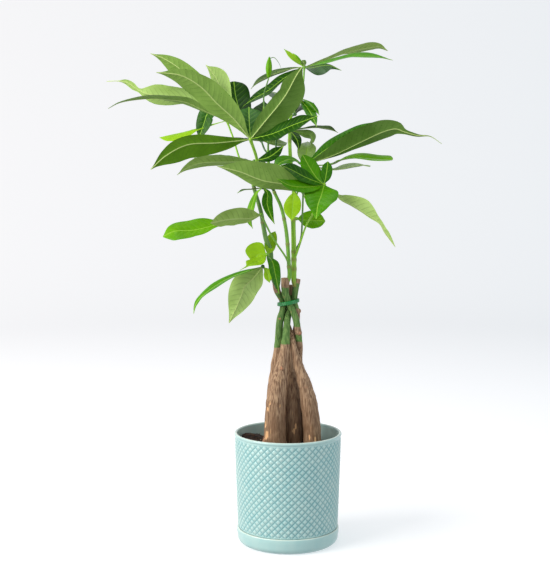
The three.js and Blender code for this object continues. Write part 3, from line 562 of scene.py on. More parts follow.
@dataclass(frozen=True)
class LeafSkin(Finish):
    """One side of a leaflet. A waxed upper side shines, with pale sunk veins, partly their own paler green
    and partly painted sheen; the underside is matt and paler, with a pale raised midrib and fine side veins
    painted dark green as the shadow of their ridges.

    The mesh says which side vein is near (vein, whole numbers on a vein), how far the midrib is in
    millimetres (rib) and how near the edge is (rim).
    """

    blade: str
    shade: str
    rib: str
    vein: str
    vein_share: float
    rib_half_mm: float
    roughness: float
    specular: float
    cloud_mm: float = 26
    net_mm: float = 2.4

    def draw(self, tree: Tree, shader: bpy.types.Node) -> None:
        """Draws the blade, its side veins with painted sheen above and painted shadow below, and its midrib.

        Args:
            tree: The material's node tree.
            shader: Its Principled shader.
        """
        place = add(tree, "TexCoord", output="Object")
        vein = add(tree, "Attribute", {"attribute_name": "vein"}, "Fac")
        rib = add(tree, "Attribute", {"attribute_name": "rib"}, "Fac")
        rim = add(tree, "Attribute", {"attribute_name": "rim"}, "Fac")
        clouds = add(tree, "TexNoise", {"Scale": scale_of(self.cloud_mm), "Detail": 3.0, "Vector": place})
        mesh = {"feature": "DISTANCE_TO_EDGE", "Scale": scale_of(self.net_mm), "Vector": place}
        net = add(tree, "TexVoronoi", mesh)
        share = add(tree, "MapRange", {"From Min": 0.35, "From Max": 0.65, "Value": clouds})
        ground = add(tree, "MixRGB", {"Color1": self.shade, "Color2": self.blade, "Fac": share})
        beside = add(tree, "Math", {"operation": "PINGPONG", 0: vein, 1: 0.5})
        width = {"From Min": 0.02, "From Max": 0.14, "To Min": self.vein_share, "To Max": 0.0}
        line = add(tree, "MapRange", {**width, "Value": beside})
        edge = {"From Min": 0.55, "From Max": 0.92, "To Min": 1.0, "To Max": 0.0, "Value": rim}
        fade = add(tree, "MapRange", edge)
        faded = add(tree, "Math", {"operation": "MULTIPLY", 0: line, 1: fade})
        # The vein colour is pale above, partly the veins' own green and partly painted sheen, and dark below,
        # painted shadow of the raised veins.
        vein_sheen_and_shadow = add(tree, "MixRGB", {"Color1": ground, "Color2": self.vein, "Fac": faded})
        near, far = self.rib_half_mm * 0.6, self.rib_half_mm * 1.3
        core = {"From Min": near, "From Max": far, "To Min": 1.0, "To Max": 0.0, "Value": rib}
        midrib = add(tree, "MapRange", core)
        colour = add(tree, "MixRGB", {"Color1": vein_sheen_and_shadow, "Color2": self.rib, "Fac": midrib})
        relief = add(tree, "Math", {"operation": "MULTIPLY_ADD", 0: net, 1: 0.3, 2: faded})
        bump = add(tree, "Bump", {"Strength": 0.3, "Distance": 0.4 * MM, "Height": relief})
        surface = {"Roughness": self.roughness, "IOR": 1.45, "Specular IOR Level": self.specular}
        feed(tree, shader, {"Base Color": colour, "Normal": bump, **surface})


@dataclass(frozen=True)
class SeamlessPaper(Finish):
    """Matt studio paper, nearly white, glowing evenly as if lit from behind, with painted shade that makes it
    a little darker and cooler to the right.
    """

    left: str = "#FAF9FA"
    # The right colour is painted shade: the paper darkens and cools towards the right, away from the key
    # light.
    right: str = "#DFE6EB"
    glow: float = 0.55
    base: str = "#D6D6D8"
    spread_mm: float = 1500

    def draw(self, tree: Tree, shader: bpy.types.Node) -> None:
        """Draws the paper's glow and its painted shade, a slow change to a darker, cooler tone on the right.

        Args:
            tree: The material's node tree.
            shader: Its Principled shader.
        """
        place = add(tree, "TexCoord", output="Object")
        across = add(tree, "SeparateXYZ", {"Vector": place}, "X")
        reach = self.spread_mm * MM
        share = add(tree, "MapRange", {"From Min": -reach, "From Max": reach, "Value": across})
        # Painted shade: the glow's colour darkens from left to right.
        tone = add(tree, "MixRGB", {"Color1": self.left, "Color2": self.right, "Fac": share})
        feed(tree, shader, {"Emission Color": tone, "Emission Strength": self.glow})
        feed(tree, shader, {"Base Color": self.base, "Roughness": 1.0, "Specular IOR Level": 0.0})


class Tone(Enum):
    """How old a leaflet is and how much light reaches it: its upper side and underside, each with its darker
    clouds. DEEP, DUSKY and SHADED are partly painted shade, YOUNG and LIME partly painted light shining
    through.
    """

    DEEP = ("#224E0C", "#183C08", "#466A18", "#385A10")
    DUSKY = ("#2F6A0A", "#235606", "#62921C", "#527F12")
    SHADED = ("#356F0C", "#296008", "#688C3E", "#5A7E30")
    MATURE = ("#3E7E0A", "#306C06", "#88AC52", "#789C46")
    FRESH = ("#509404", "#408202", "#A4C466", "#92B256")
    YOUNG = ("#6CAA0A", "#589608", "#AECE78", "#9CBD64")
    LIME = ("#9CCB22", "#88B818", "#BAD868", "#A8C852")
    PALE = ("#8EB25C", "#80A24E", "#B0CC92", "#9EBC7E")

    def skins(self) -> tuple[LeafSkin, LeafSkin]:
        """Gives the finishes of the upper side and the underside.

        Returns:
            The waxed upper side's finish and the matt underside's.
        """
        # The tone's name, part age and part painted light, names the two materials.
        age_and_light = self.name.lower()
        # Upper side: pale vein colour, partly the veins' own green and partly painted sheen. Underside: dark
        # green vein colour, painted shadow of the raised veins.
        waxed = ("#8FBE3C", "#7CAE38", 0.22, 0.6, 0.3, 0.14)
        matt = ("#B9CE80", "#3E6020", 0.28, 0.72, 0.55, 0.12)
        upper = LeafSkin(f"waxed_leaf_upper_{age_and_light}", *self.value[:2], *waxed)
        return upper, LeafSkin(f"matt_leaf_under_{age_and_light}", *self.value[2:], *matt)


class Outline(Enum):
    """The outlines of leaflets: half widths, as shares of the widest, at shares of the length."""

    OBLONG = (
        (0.0, 0.04), (0.07, 0.17), (0.18, 0.5), (0.32, 0.8), (0.46, 0.97), (0.58, 1.0), (0.71, 0.9),
        (0.82, 0.62), (0.9, 0.32), (0.95, 0.13), (1.0, 0.02),
    )
    FULL = (
        (0.0, 0.06), (0.08, 0.38), (0.2, 0.8), (0.36, 1.0), (0.55, 0.93), (0.75, 0.6), (0.9, 0.22),
        (1.0, 0.02),
    )
    ROUND = (
        (0.0, 0.05), (0.08, 0.3), (0.22, 0.74), (0.4, 0.97), (0.56, 1.0), (0.75, 0.88), (0.9, 0.5),
        (1.0, 0.02),
    )
    BLUNT = (
        (0.0, 0.05), (0.12, 0.22), (0.32, 0.55), (0.55, 0.88), (0.74, 1.0), (0.88, 0.92), (0.96, 0.6),
        (1.0, 0.1),
    )
    STALKED = (
        (0.0, 0.04), (0.2, 0.06), (0.36, 0.6), (0.52, 0.94), (0.7, 1.0), (0.9, 0.95), (0.97, 0.8), (1.0, 0.3),
    )
    LATE = (
        (0.0, 0.04), (0.2, 0.16), (0.42, 0.4), (0.56, 0.86), (0.68, 1.0), (0.8, 0.94), (0.91, 0.68),
        (1.0, 0.04),
    )
    TAILED = (
        (0.0, 0.05), (0.1, 0.3), (0.22, 0.7), (0.36, 0.97), (0.48, 1.0), (0.6, 0.85), (0.68, 0.5),
        (0.73, 0.2), (0.8, 0.12), (0.88, 0.05), (1.0, 0.01),
    )
    TWISTED = (
        (0.0, 0.05), (0.12, 0.3), (0.28, 0.8), (0.44, 1.0), (0.58, 0.9), (0.66, 0.55), (0.72, 0.2),
        (0.78, 0.32), (0.84, 0.26), (0.9, 0.05), (1.0, 0.01),
    )
    WAISTED = (
        (0.0, 0.05), (0.12, 0.2), (0.28, 0.6), (0.46, 1.0), (0.58, 0.85), (0.67, 0.42), (0.74, 0.26),
        (0.83, 0.32), (0.91, 0.22), (1.0, 0.02),
    )


class StemTone(Enum):
    """How old a stem is, as its darker and its paler green."""

    OLD = ("#4E7A34", "#6E9A45")
    GREEN = ("#5F9A2A", "#80B63A")
    BRIGHT = ("#78B51C", "#A0D03A")
    DARK = ("#2F5A25", "#4A7A38")

    def finish(self) -> GreenStem:
        """Gives the stem's finish."""
        dark, pale = self.value
        return GreenStem(f"green_stem_{self.name.lower()}", dark, pale)


@dataclass(frozen=True)
class Blade:
    """One leaflet: its points after the hub, its width and the way its upper side looks.

    faces are one or more directions, spread evenly from foot to tip, and left and right are factors for
    the two halves, spread the same way. fold says how steeply the halves rise from the midrib, roll how
    far the edges bend back, and wave how high the edge's waves are.
    """

    width: float
    path: tuple[Point, ...]
    faces: tuple[Point, ...]
    tone: Tone
    outline: Outline = Outline.OBLONG
    fold: float = 0.2
    roll: float = 0.06
    wave: float = 0.8
    left: tuple[float, ...] = (1.0,)
    right: tuple[float, ...] = (1.0,)

    THICKNESS = 0.5
    THIN_EDGE = 0.55
    VEIN_STEP = 8.5
    LEAST_VEINS = 4.0
    VEIN_SLANT = 0.62
    QUILT = 0.85
    FULL_WIDTH = 40
    ROW_STEP = 1.9
    ROW_LIMITS = (18, 64)
    WAVES = (1.8, 3.0)
    RIB = (1.05, 0.25)
    LEAST_RIB = 0.6
    FOOT_HALF = 0.9
    TIP_HALF = 0.3
    INNER = (0.6, 1.3)
    OUTER = (0.1, 0.24, 0.4, 0.56, 0.72, 0.87, 1.0)

    def half(self, along: float) -> float:
        """Gives half the blade's width at a share of its length."""
        body = self.width / 2 * max(0.0, curve(self.outline.value, along))
        return math.hypot(lerp(self.FOOT_HALF, self.TIP_HALF, along), body)

    def face(self, along: float) -> Vector:
        """Gives the way the upper side looks at a share of the length."""
        return spread([Vector(way) for way in self.faces], along)

    def build(self, draft: Draft, hub: Vector, upper_slot: int, draw: random.Random) -> None:
        """Adds the blade as a thin closed sheet with a raised midrib below.

        Args:
            draft: The piece that it belongs to, with the labels vein, rib, rim and scar.
            hub: Where the leaflets meet.
            upper_slot: The slot of the upper side; the underside has the next one.
            draw: The seeded draws for waves.
        """
        first = Vector(self.path[0])
        start = hub + (first - hub).normalized() * Leaf.FOOT_IN_HUB
        route = Route([tuple(start), *self.path])
        rows = max(self.ROW_LIMITS[0], min(self.ROW_LIMITS[1], round(route.length / self.ROW_STEP)))
        veins = max(self.LEAST_VEINS, route.length / self.VEIN_STEP)
        phases = (draw.uniform(0, 1), draw.uniform(0, 1))
        waves = draw.uniform(*self.WAVES)
        size = self.width / self.FULL_WIDTH
        columns = len(self.INNER) + len(self.OUTER)
        rings, values = [], []
        for row in range(rows + 1):
            along = row / rows
            centre = route.at(along)
            ahead = route.ahead(along)
            face = self.face(along)
            normal = (face - ahead * face.dot(ahead)).normalized()
            across = ahead.cross(normal)
            half = self.half(along)
            rib = lerp(*self.RIB, along**0.8) * max(self.LEAST_RIB, min(1.0, size))
            swell = math.sin(math.pi * along) ** 0.5
            upper, under = [], []
            for column in range(-columns, columns + 1):
                side = -1 if column < 0 else 1
                reach = max(self.TIP_HALF, half * spread(self.left if side < 0 else self.right, along))
                x = self.offset(abs(column), rib, reach)
                v = x / reach
                vein = veins * (along - self.VEIN_SLANT * x * (1 + 0.4 * v) / route.length)
                vein += 0.5 if side < 0 else 0
                quilt = 0.5 - 0.5 * math.cos(2 * math.pi * vein)
                lift = self.fold * x - self.roll * reach * v**4
                lift += self.QUILT * size * quilt * swell * min(1.0, v * 4) * (1 - v**3)
                turn = 2 * math.pi * (waves * along + phases[side > 0])
                lift += self.wave * size * swell * v**3 * math.sin(turn)
                sheet = self.THICKNESS * (1 - self.THIN_EDGE * v) / 2
                ridge = rib * math.exp(-((x / rib) ** 2))
                base = centre + across * (side * x)
                value = (vein, x, v, 0.0)
                if abs(column) == columns:
                    upper.append((base + normal * lift, value))
                    continue
                upper.append((base + normal * (lift + sheet + 0.2 * ridge), value))
                under.append((base + normal * (lift - sheet - ridge), value))
            ring = upper + under[::-1]
            rings.append([spot for spot, _ in ring])
            values.append([value for _, value in ring])
        last_upper = 2 * columns
        draft.loft(rings, values, lambda column: upper_slot if column < last_upper else upper_slot + 1)

    def offset(self, column: int, rib: float, reach: float) -> float:
        """Gives a column's distance from the midrib: close columns shape the rib, the rest the blade.

        Args:
            column: The column, counted from the midrib.
            rib: The midrib's half width.
            reach: The blade's half width there.

        Returns:
            The distance.
        """
        if column == 0:
            return 0.0
        inner = min(self.INNER[-1] * rib, reach * 0.6)
        if column <= len(self.INNER):
            return inner * self.INNER[column - 1] / self.INNER[-1]
        return lerp(inner, reach, self.OUTER[column - len(self.INNER) - 1])


@dataclass(frozen=True)
class Leaf:
    """A palmate leaf: a stalk from its shoot to the hub, and leaflets from the hub."""

    stalk: tuple[Point, ...]
    blades: tuple[Blade, ...]
    stem: StemTone = StemTone.GREEN
    stout: float = 1.0

    FOOT_IN_HUB = 1.8
    HUB_RADIUS = 2.7
    STALK_RADIUS = 1.3
    FOOT_FACTOR = 1.55
    LABELS = ("vein", "rib", "rim", "scar")

    def radius(self, along: float) -> float:
        """Gives the stalk's radius: swollen at the foot, slim, and a little thicker at the hub."""
        foot = (self.FOOT_FACTOR - 1) * (1 - smooth(0, 0.16, along))
        return self.STALK_RADIUS * self.stout * (1 + foot + 0.35 * smooth(0.9, 1, along))

    def build(self, node: str, draw: random.Random) -> None:
        """Builds the leaf that stands for a solid of the model.

        Args:
            node: The solid's name.
            draw: The seeded draws for the blades' waves.
        """
        draft = Draft(self.LABELS)
        stem(draft, Route(self.stalk), self.radius, 12, 6 * len(self.stalk), lambda along: 0.0)
        hub = Vector(self.stalk[-1])
        ball(draft, hub, self.HUB_RADIUS)
        tones = list(dict.fromkeys(blade.tone for blade in self.blades))
        finishes: list[Finish] = [self.stem.finish()]
        for tone in tones:
            finishes.extend(tone.skins())
        for blade in self.blades:
            blade.build(draft, hub, 1 + 2 * tones.index(blade.tone), draw)
        draft.piece(f"{node}_leaflets", finishes, node)


def stem(
    draft: Draft,
    route: Route,
    radius_at: Callable[[float], float],
    sides: int,
    rings: int,
    scar_at: Callable[[float], float],
) -> None:
    """Adds a round stem along a line, with rounded ends.

    Args:
        draft: The piece that it belongs to. Its last label is scar.
        route: The line.
        radius_at: Gives the radius at a share of the length.
        sides: Points round the stem.
        rings: Stretches along it.
        scar_at: Gives how corky the skin is at a share of the length.
    """
    loops, values = [], []
    plain = (0.0,) * (len(draft.labels) - 1)
    for share, middle, side, up in route.sections(rings):
        radius = radius_at(share) * (0.7 if share in (0.0, 1.0) else 1.0)
        loop = []
        for at in range(sides):
            angle = 2 * math.pi * at / sides
            loop.append(middle + (side * math.cos(angle) + up * math.sin(angle)) * radius)
        loops.append(loop)
        values.append([(*plain, scar_at(share))] * sides)
    draft.loft(loops, values)


def circle(radius: float, height: float, sides: int) -> Ring:
    """Gives a level ring of points round the axis."""
    turns = [2 * math.pi * side / sides for side in range(sides)]
    return [Vector((radius * math.cos(turn), radius * math.sin(turn), height)) for turn in turns]


def ball(draft: Draft, middle: Vector, radius: float) -> None:
    """Adds a small round knuckle.

    Args:
        draft: The piece that it belongs to.
        middle: Its centre.
        radius: Its radius.
    """
    sides, steps = 12, 8
    loops = []
    for step in range(1, steps):
        turn = math.pi * step / steps
        ring = circle(radius * math.sin(turn), radius * math.cos(turn), sides)
        loops.append([middle + spot for spot in ring])
    draft.loft(loops)


@dataclass
class Pot:
    """The stoneware pot: diamond relief between a plain rim and a plain foot, with a drainage hole."""

    rim_radius: float = 76.0
    rim_inner: float = 71.4
    rim_top: float = 158.0
    rim_band: float = 4.6
    tip_radius: float = 75.2
    taper: float = 3.9
    relief_depth: float = 1.5
    relief_bottom: float = 23.3
    diamonds_round: int = 48
    diamonds_high: int = 14
    cell_steps: int = 8
    neck_radius: float = 68.6
    foot_radius: float = 63.0
    bottom: float = 4.8
    floor: float = 12.0
    hole_radius: float = 7.0
    lip: float = 2.1
    wobble: float = 0.25

    PLAIN = -1
    PLAIN_LEVEL = 0.6
    TIP_ROUNDNESS = 0.6
    TIP_FROM = 0.83
    TIP_THIN_GLAZE_AND_HIGHLIGHT = 0.85
    EDGE_THIN_GLAZE_AND_HIGHLIGHT = 0.75
    # Cream on the inner wall below the rim is painted light that lightens the shade inside the pot.
    WALL_PAINTED_LIGHT = 0.3
    BAND_STEPS = ((0.3, 0.8), (0.7, 1.8))
    LIP_TURNS = (0, 25, 50, 75, 100, 130, 155, 180)
    INNER_WALL = ((68.6, 138, WALL_PAINTED_LIGHT), (68, 110, 0), (66, 50, 0), (65, 20, 0))

    def diamond(self, across: float, high: float) -> float:
        """Gives the height of the relief.

        Args:
            across: The place round the pot, in diamonds.
            high: The place up the wall, in diamonds.

        Returns:
            0 in a groove and 1 on a tip.
        """
        rising, falling = across + high, across - high
        off = 2 * max(abs(rising - round(rising)), abs(falling - round(falling)))
        return (1 - off) ** self.TIP_ROUNDNESS

    def profile(self) -> list[tuple[float, float, float, float, float]]:
        """Lists the wall from the hole's lower edge round the outside, the rim and the inside.

        Returns:
            For each level its radius, its height, the place up the relief, or -1, its strength, and how
            much cream it gets: thin glaze on the foot, thin glaze and painted highlight on the lip's top, and
            painted light on the inner wall below the rim.
        """
        band = self.rim_top - self.rim_band
        lip = self.lip
        below = (
            (self.hole_radius, self.bottom, 0),
            (self.foot_radius - 3, self.bottom, 0.6),
            (self.foot_radius, self.bottom + 1.2, 0.3),
            (self.neck_radius - 1.5, self.bottom + 7, 0),
            (self.neck_radius, self.relief_bottom - 2, 0),
        )
        rows = [(radius, height, self.PLAIN, 0, thin) for radius, height, thin in below]
        steps = self.diamonds_high * self.cell_steps
        for step in range(steps + 1):
            share = step / steps
            radius = self.tip_radius - self.taper * (1 - share) ** 1.4
            height = lerp(self.relief_bottom, band, share)
            strength = smooth(0, 0.012, share) * smooth(0, 0.03, 1 - share)
            rows.append((radius, height, share * self.diamonds_high, strength, 0))
        above = [(self.tip_radius + out, band + up, 0) for out, up in self.BAND_STEPS]
        for turn in self.LIP_TURNS:
            angle = math.radians(turn)
            radius = self.rim_radius - lip + lip * math.cos(angle)
            height = self.rim_top - lip + lip * math.sin(angle)
            # The lip's top gets cream: partly thin glaze, partly a painted highlight.
            above.append((radius, height, math.sin(angle) ** 2 * self.EDGE_THIN_GLAZE_AND_HIGHLIGHT))
        above += [
            (self.rim_inner + 0.1, self.rim_top - 4, self.WALL_PAINTED_LIGHT),
            (self.rim_inner - 0.6, self.rim_top - 12, self.WALL_PAINTED_LIGHT),
            *self.INNER_WALL,
            (61, self.floor, 0),
            (self.hole_radius, self.floor, 0),
        ]
        return rows + [(radius, height, self.PLAIN, 0, thin) for radius, height, thin in above]

    def build(self) -> None:
        """Builds the pot."""
        draft = Draft(("height", "thin"))
        columns = self.diamonds_round * self.cell_steps
        rings, values = [], []
        for radius, height, high, strength, thin in self.profile():
            ring, row = [], []
            for column in range(columns):
                angle = 2 * math.pi * column / columns
                relief = self.diamond(column / self.cell_steps, high) if high >= 0 else 1.0
                out = radius - self.relief_depth * strength * (1 - relief)
                if high >= 0:
                    out -= self.relief_depth * 0.5 * (1 - strength)
                place = Vector((math.cos(angle), math.sin(angle), height / 90))
                out += self.wobble * noise.noise(place * 1.6) if high >= 0 else 0
                ring.append(Vector((out * math.cos(angle), out * math.sin(angle), height)))
                # Cream on the relief's tips: partly thin glaze, partly a painted highlight.
                tip = self.TIP_THIN_GLAZE_AND_HIGHLIGHT * smooth(self.TIP_FROM, 1, relief) * strength
                row.append((lerp(self.PLAIN_LEVEL, relief, strength), tip if high >= 0 else thin))
            rings.append(ring)
            values.append(row)
        draft.loft(rings, values, closed=True)
        draft.piece("glazed_pot", [GLAZE], "pot", 35)


@dataclass
class Saucer:
    """The saucer: a plain low dish whose lip closes round the pot's neck."""

    lip_radius: float = 72.6
    lip_top: float = 22.5
    wall: float = 3.2
    foot_radius: float = 62.0
    floor: float = 4.5
    level: float = 0.62
    skirt: float = 9.5
    middle: float = 2.0
    sides: int = 160

    LIP_TURNS = (0, 30, 60, 90, 120, 150, 180)
    EDGE_THIN_GLAZE_AND_HIGHLIGHT = 0.9

    def build(self) -> None:
        """Builds the saucer."""
        inner = self.lip_radius - self.wall
        lip = self.wall / 2
        outline = [(self.middle, 0.0, 0.0), (self.foot_radius - 1, 0.0, 0.0), (self.foot_radius, 0.1, 0.0)]
        for turn in range(0, 91, 10):
            angle = math.radians(turn)
            radius = self.foot_radius + (self.lip_radius - 0.9 - self.foot_radius) * math.sin(angle)
            outline.append((radius, 0.1 + self.skirt * (1 - math.cos(angle)), 0.0))
        outline.append((self.lip_radius - 0.2, 15.0, 0.0))
        for turn in self.LIP_TURNS:
            angle = math.radians(turn)
            radius = self.lip_radius - lip + lip * math.cos(angle)
            height = self.lip_top - lip + lip * math.sin(angle)
            # The saucer lip's top gets cream: partly thin glaze, partly a painted highlight.
            outline.append((radius, height, math.sin(angle) * self.EDGE_THIN_GLAZE_AND_HIGHLIGHT))
        outline += [(inner - 0.4, 14.0, 0.0), (inner - 1.8, 8.0, 0.0)]
        outline += [(inner - 5, self.floor, 0.0), (self.middle, self.floor, 0.0)]
        draft = Draft(("height", "thin"))
        rings = [circle(radius, height, self.sides) for radius, height, _ in outline]
        values = [[(self.level, thin)] * self.sides for _, _, thin in outline]
        draft.loft(rings, values)
        draft.piece("glazed_saucer", [GLAZE], "saucer", 40)


@dataclass
class Soil:
    """The potting mix, heaped a little round the trunks, with chips of bark and a few pale grains."""

    top: float = 138.0
    crown: float = 3.0
    pile: float = 14.0
    lump_height: float = 1.5
    lump_scale: float = 0.16
    crumb_height: float = 1.4
    crumb_scale: float = 0.45
    edge_radius: float = 67.6
    floor: float = 12.3
    sides: int = 120
    rings: int = 46
    chips: int = 260
    chips_per_grain: int = 14

    CHIP_SHAPE = ((-0.5, 0.55), (-0.3, 1.0), (0.25, 0.9), (0.5, 0.45))
    CHIP_CORNERS = 6

    def level(self, x: float, y: float) -> float:
        """Gives the height of the surface at a place.

        Args:
            x: The place to the right.
            y: The place to the back.

        Returns:
            The height.
        """
        radius = math.hypot(x, y)
        heap = self.crown * (1 - smooth(24, 46, radius)) - 2.5 * smooth(60, 68, radius)
        heap += self.pile * math.exp(-((x + 62) ** 2 + (y - 24) ** 2) / 900)
        lumps = self.lump_height * noise.noise(Vector((x, y, 3)) * self.lump_scale)
        crumbs = self.crumb_height * noise.noise(Vector((x, y, 9)) * self.crumb_scale)
        return self.top - 0.6 + heap + (lumps + crumbs)

    def build(self) -> None:
        """Builds the mix and the chips that lie on it."""
        draft = Draft()
        wall = ((2.0, self.floor), (60.4, self.floor), (64.4, 18.3), (67.4, 130.3))
        rings = [circle(radius, height, self.sides) for radius, height in wall]
        angles = [2 * math.pi * side / self.sides for side in range(self.sides)]
        for step in range(self.rings):
            radius = self.edge_radius * (1 - step / self.rings)
            ring = []
            for a in angles:
                x, y = radius * math.cos(a), radius * math.sin(a)
                ring.append(Vector((x, y, self.level(x, y))))
            rings.append(ring)
        draft.loft(rings)
        draft.piece("potting_mix", [POTTING_MIX], "soil", 80)
        self.scatter()

    def scatter(self) -> None:
        """Strews chips of bark and pale grains over the surface."""
        draw = random.Random(SEED)
        draft = Draft()
        for number in range(self.chips):
            radius = self.edge_radius * 0.97 * math.sqrt(draw.uniform(0.02, 1))
            angle = draw.uniform(0, 2 * math.pi)
            x, y = radius * math.cos(angle), radius * math.sin(angle)
            pale = number % self.chips_per_grain == 0
            long = draw.uniform(1.2, 2.4) if pale else draw.uniform(2.5, 7)
            wide = long * (0.8 if pale else draw.uniform(0.3, 0.6))
            thick = long * 0.7 if pale else draw.uniform(0.7, 1.6)
            turn = draw.uniform(0, math.pi)
            tilt = draw.uniform(-0.3, 0.3)
            along = Vector((math.cos(turn), math.sin(turn), tilt)).normalized()
            across = along.cross(Vector((0, 0, 1))).normalized()
            up = across.cross(along)
            middle = Vector((x, y, self.level(x, y) + thick * 0.3))
            loops = []
            for end, size in self.CHIP_SHAPE:
                loop = []
                for corner in range(self.CHIP_CORNERS):
                    a = 2 * math.pi * (corner + draw.uniform(-0.2, 0.2)) / self.CHIP_CORNERS
                    offset = across * (wide / 2 * math.cos(a)) + up * (thick / 2 * math.sin(a))
                    loop.append(middle + along * (long * end) + offset * size)
                loops.append(loop)
            slot = 1 if pale else 0
            draft.loft(loops, slot_of=lambda column, slot=slot: slot)
        draft.piece("bark_chips", [CHIP, GRAIN], crease_deg=30)


@dataclass(frozen=True)
class Trunk:
    """A woody trunk: points of x, y, z and radius from the foot in the soil to the cut end.

    green lists the stretches of height where the skin is green, peeled the places where bark is gone
    and knobs the stubs of old twigs, both as x, y, z and radius.
    """

    points: tuple[tuple[float, float, float, float], ...]
    green: tuple[tuple[float, float], ...]
    knobs: tuple[tuple[float, float, float, float], ...]
    peeled: tuple[tuple[float, float, float, float], ...] = ()

    SIDES = 48
    RINGS = 230
    SOIL_TOP = 138.0
    FULL_RADIUS = 12
    LUMP = 0.035
    FIBRE_STRETCH = 0.13
    KNOB_REACH = 1.35
    KNOB_HEIGHT = 0.85
    GREEN_BLUR = 2
    FOOT_PEEL = 0.7
    FOOT_RAGGED = 5
    PATCH_STRETCH = 2.4
    LABELS = ("green", "peel", "scar")

    def radius_at(self, route: Route, share: float) -> float:
        """Gives the radius at a share of the length.

        Args:
            route: The trunk's line.
            share: The share of its length.

        Returns:
            The radius.
        """
        last = len(self.points) - 1
        stations = []
        for at in range(last + 1):
            sample = round(at / last * Route.DIVISIONS)
            stations.append(route.lengths[sample] / route.length)
        high = next((at for at in range(1, last + 1) if stations[at] >= share - 1e-6), last)
        low = high - 1
        part = smooth(stations[low], stations[high], share)
        return lerp(self.points[low][3], self.points[high][3], part)

    def build(self, node: str) -> None:
        """Builds the trunk that stands for a solid of the model.

        Args:
            node: The solid's name.
        """
        draft = Draft(self.LABELS)
        route = Route([point[:3] for point in self.points])
        rings, values = [], []
        for share, middle, side, up in route.sections(self.RINGS):
            base = self.radius_at(route, share)
            ring, row = [], []
            for at in range(self.SIDES):
                angle = 2 * math.pi * at / self.SIDES
                out = side * math.cos(angle) + up * math.sin(angle)
                spot, value = self.surface(middle, out, base, angle, share)
                ring.append(spot)
                row.append(value)
            rings.append(ring)
            values.append(row)
        for shrink in (0.8, 0.45):
            middle = sum(rings[-1], Vector()) / self.SIDES
            lifted = route.ahead(1) * 0.35
            rings.append([middle + (spot - middle) * shrink + lifted for spot in rings[-1]])
            values.append([(0.0, 0.0, 1.0)] * self.SIDES)
        draft.loft(rings, values)
        draft.piece(f"{node}_bark", [BARK], node, 75)

    def surface(
        self, middle: Vector, out: Vector, base: float, angle: float, share: float
    ) -> tuple[Vector, tuple[float, float, float]]:
        """Gives a point of the bark and its values.

        Args:
            middle: The axis of the trunk.
            out: The direction from the axis.
            base: The radius there.
            angle: The turn round the axis.
            share: The share of the trunk's length.

        Returns:
            The point, and how green, how peeled and how scarred it is.
        """
        thick = min(1.0, base / self.FULL_RADIUS)
        lumps = 1 + self.LUMP * math.sin(3 * angle + share * 9) * thick
        bare = middle + out * base * lumps
        drawn_out = Vector((bare.x, bare.y, bare.z * self.FIBRE_STRETCH))
        radius = base * lumps
        radius += thick * 0.55 * noise.noise(drawn_out * 0.55) + thick * 0.3 * noise.noise(drawn_out * 1.3)
        radius += 0.05 * base * noise.noise(bare * 0.07)
        scar = 0.0
        for x, y, z, size in self.knobs:
            knob = Vector((x, y, z))
            away = (bare - knob).length / (self.KNOB_REACH * size)
            if away < 1:
                near = (1 - away**2) ** 2
                proud = max(0.0, (knob - middle).length + size * self.KNOB_HEIGHT - base)
                radius += proud * near
                scar = max(scar, near)
        height = bare.z
        blur = self.GREEN_BLUR
        green = 0.0
        for low, high in self.green:
            green = max(green, smooth(-blur, blur, height - low) * smooth(-blur, blur, high - height))
        foot = height - self.SOIL_TOP + self.FOOT_RAGGED * noise.noise(bare * 0.2)
        peel = self.FOOT_PEEL * (1 - smooth(1, 10, foot))
        for x, y, z, size in self.peeled:
            flat = Vector((bare.x - x, bare.y - y, (height - z) / self.PATCH_STRETCH))
            peel = max(peel, 1 - smooth(0.5, 1.1, flat.length / size))
        ragged = smooth(0.15, 0.6, peel)
        radius -= 0.5 * thick * ragged * (0.5 + noise.noise(drawn_out * 2.2))
        return middle + out * radius, (green, peel * 0.9, 0.8 * scar if scar > 0.3 else 0.0)


@dataclass
class Tie:
    """The tie: wire wound round the trunks with its two ends twisted together at the back."""

    height: float = 342.5
    wire: float = 1.35
    pitch: float = 2.2
    middle: float = 0.3
    half_width: float = 14.4
    half_depth: float = 13.4
    tilt: float = 0.18
    turns: float = 3.0
    steps: int = 54
    end_drop: float = 12.5
    end_steps: int = 16
    end_radius: float = 1.2

    def twisted(self, side: float, share: float) -> Point:
        """Gives a point of one of the two ends, which hang down behind, twisted round each other.

        Args:
            side: The turn at which this end starts.
            share: The share of the end's length.

        Returns:
            The wire's middle there.
        """
        turn = side + share * 4 * math.pi
        x = 2.5 + self.end_radius * math.cos(turn) * min(1, share * 6) + share
        behind = self.half_depth + 1.8 + 3.6 * math.sin(share * math.pi / 2)
        y = behind + self.end_radius * math.sin(turn) * 0.9
        return (x, y, self.height + 0.5 - self.end_drop * share**1.4)

    def wound(self, turn: float) -> Point:
        """Gives the wire's middle at a number of turns from the back.

        Args:
            turn: The number of turns.

        Returns:
            The wire's middle there.
        """
        angle = math.pi / 2 + 2 * math.pi * turn
        x = self.middle + self.half_width * math.cos(angle)
        y = self.half_depth * math.sin(angle)
        rise = (turn / self.turns - 0.5) * self.pitch * 1.9
        return (x, y, self.height + x * self.tilt + rise)

    def build(self) -> None:
        """Builds the tie."""
        draft = Draft(("scar",))
        loops = [self.wound(self.turns * step / self.steps) for step in range(self.steps + 1)]
        stem(draft, Route(loops), lambda along: self.wire, 12, 300, lambda along: 0.0)
        for side in (0, math.pi):
            ends = [self.twisted(side, step / self.end_steps) for step in range(self.end_steps + 1)]
            stem(draft, Route(ends), lambda along: self.wire * 0.85, 10, 60, lambda along: 0.0)
        draft.piece("wire_tie", [WIRE], "tie")


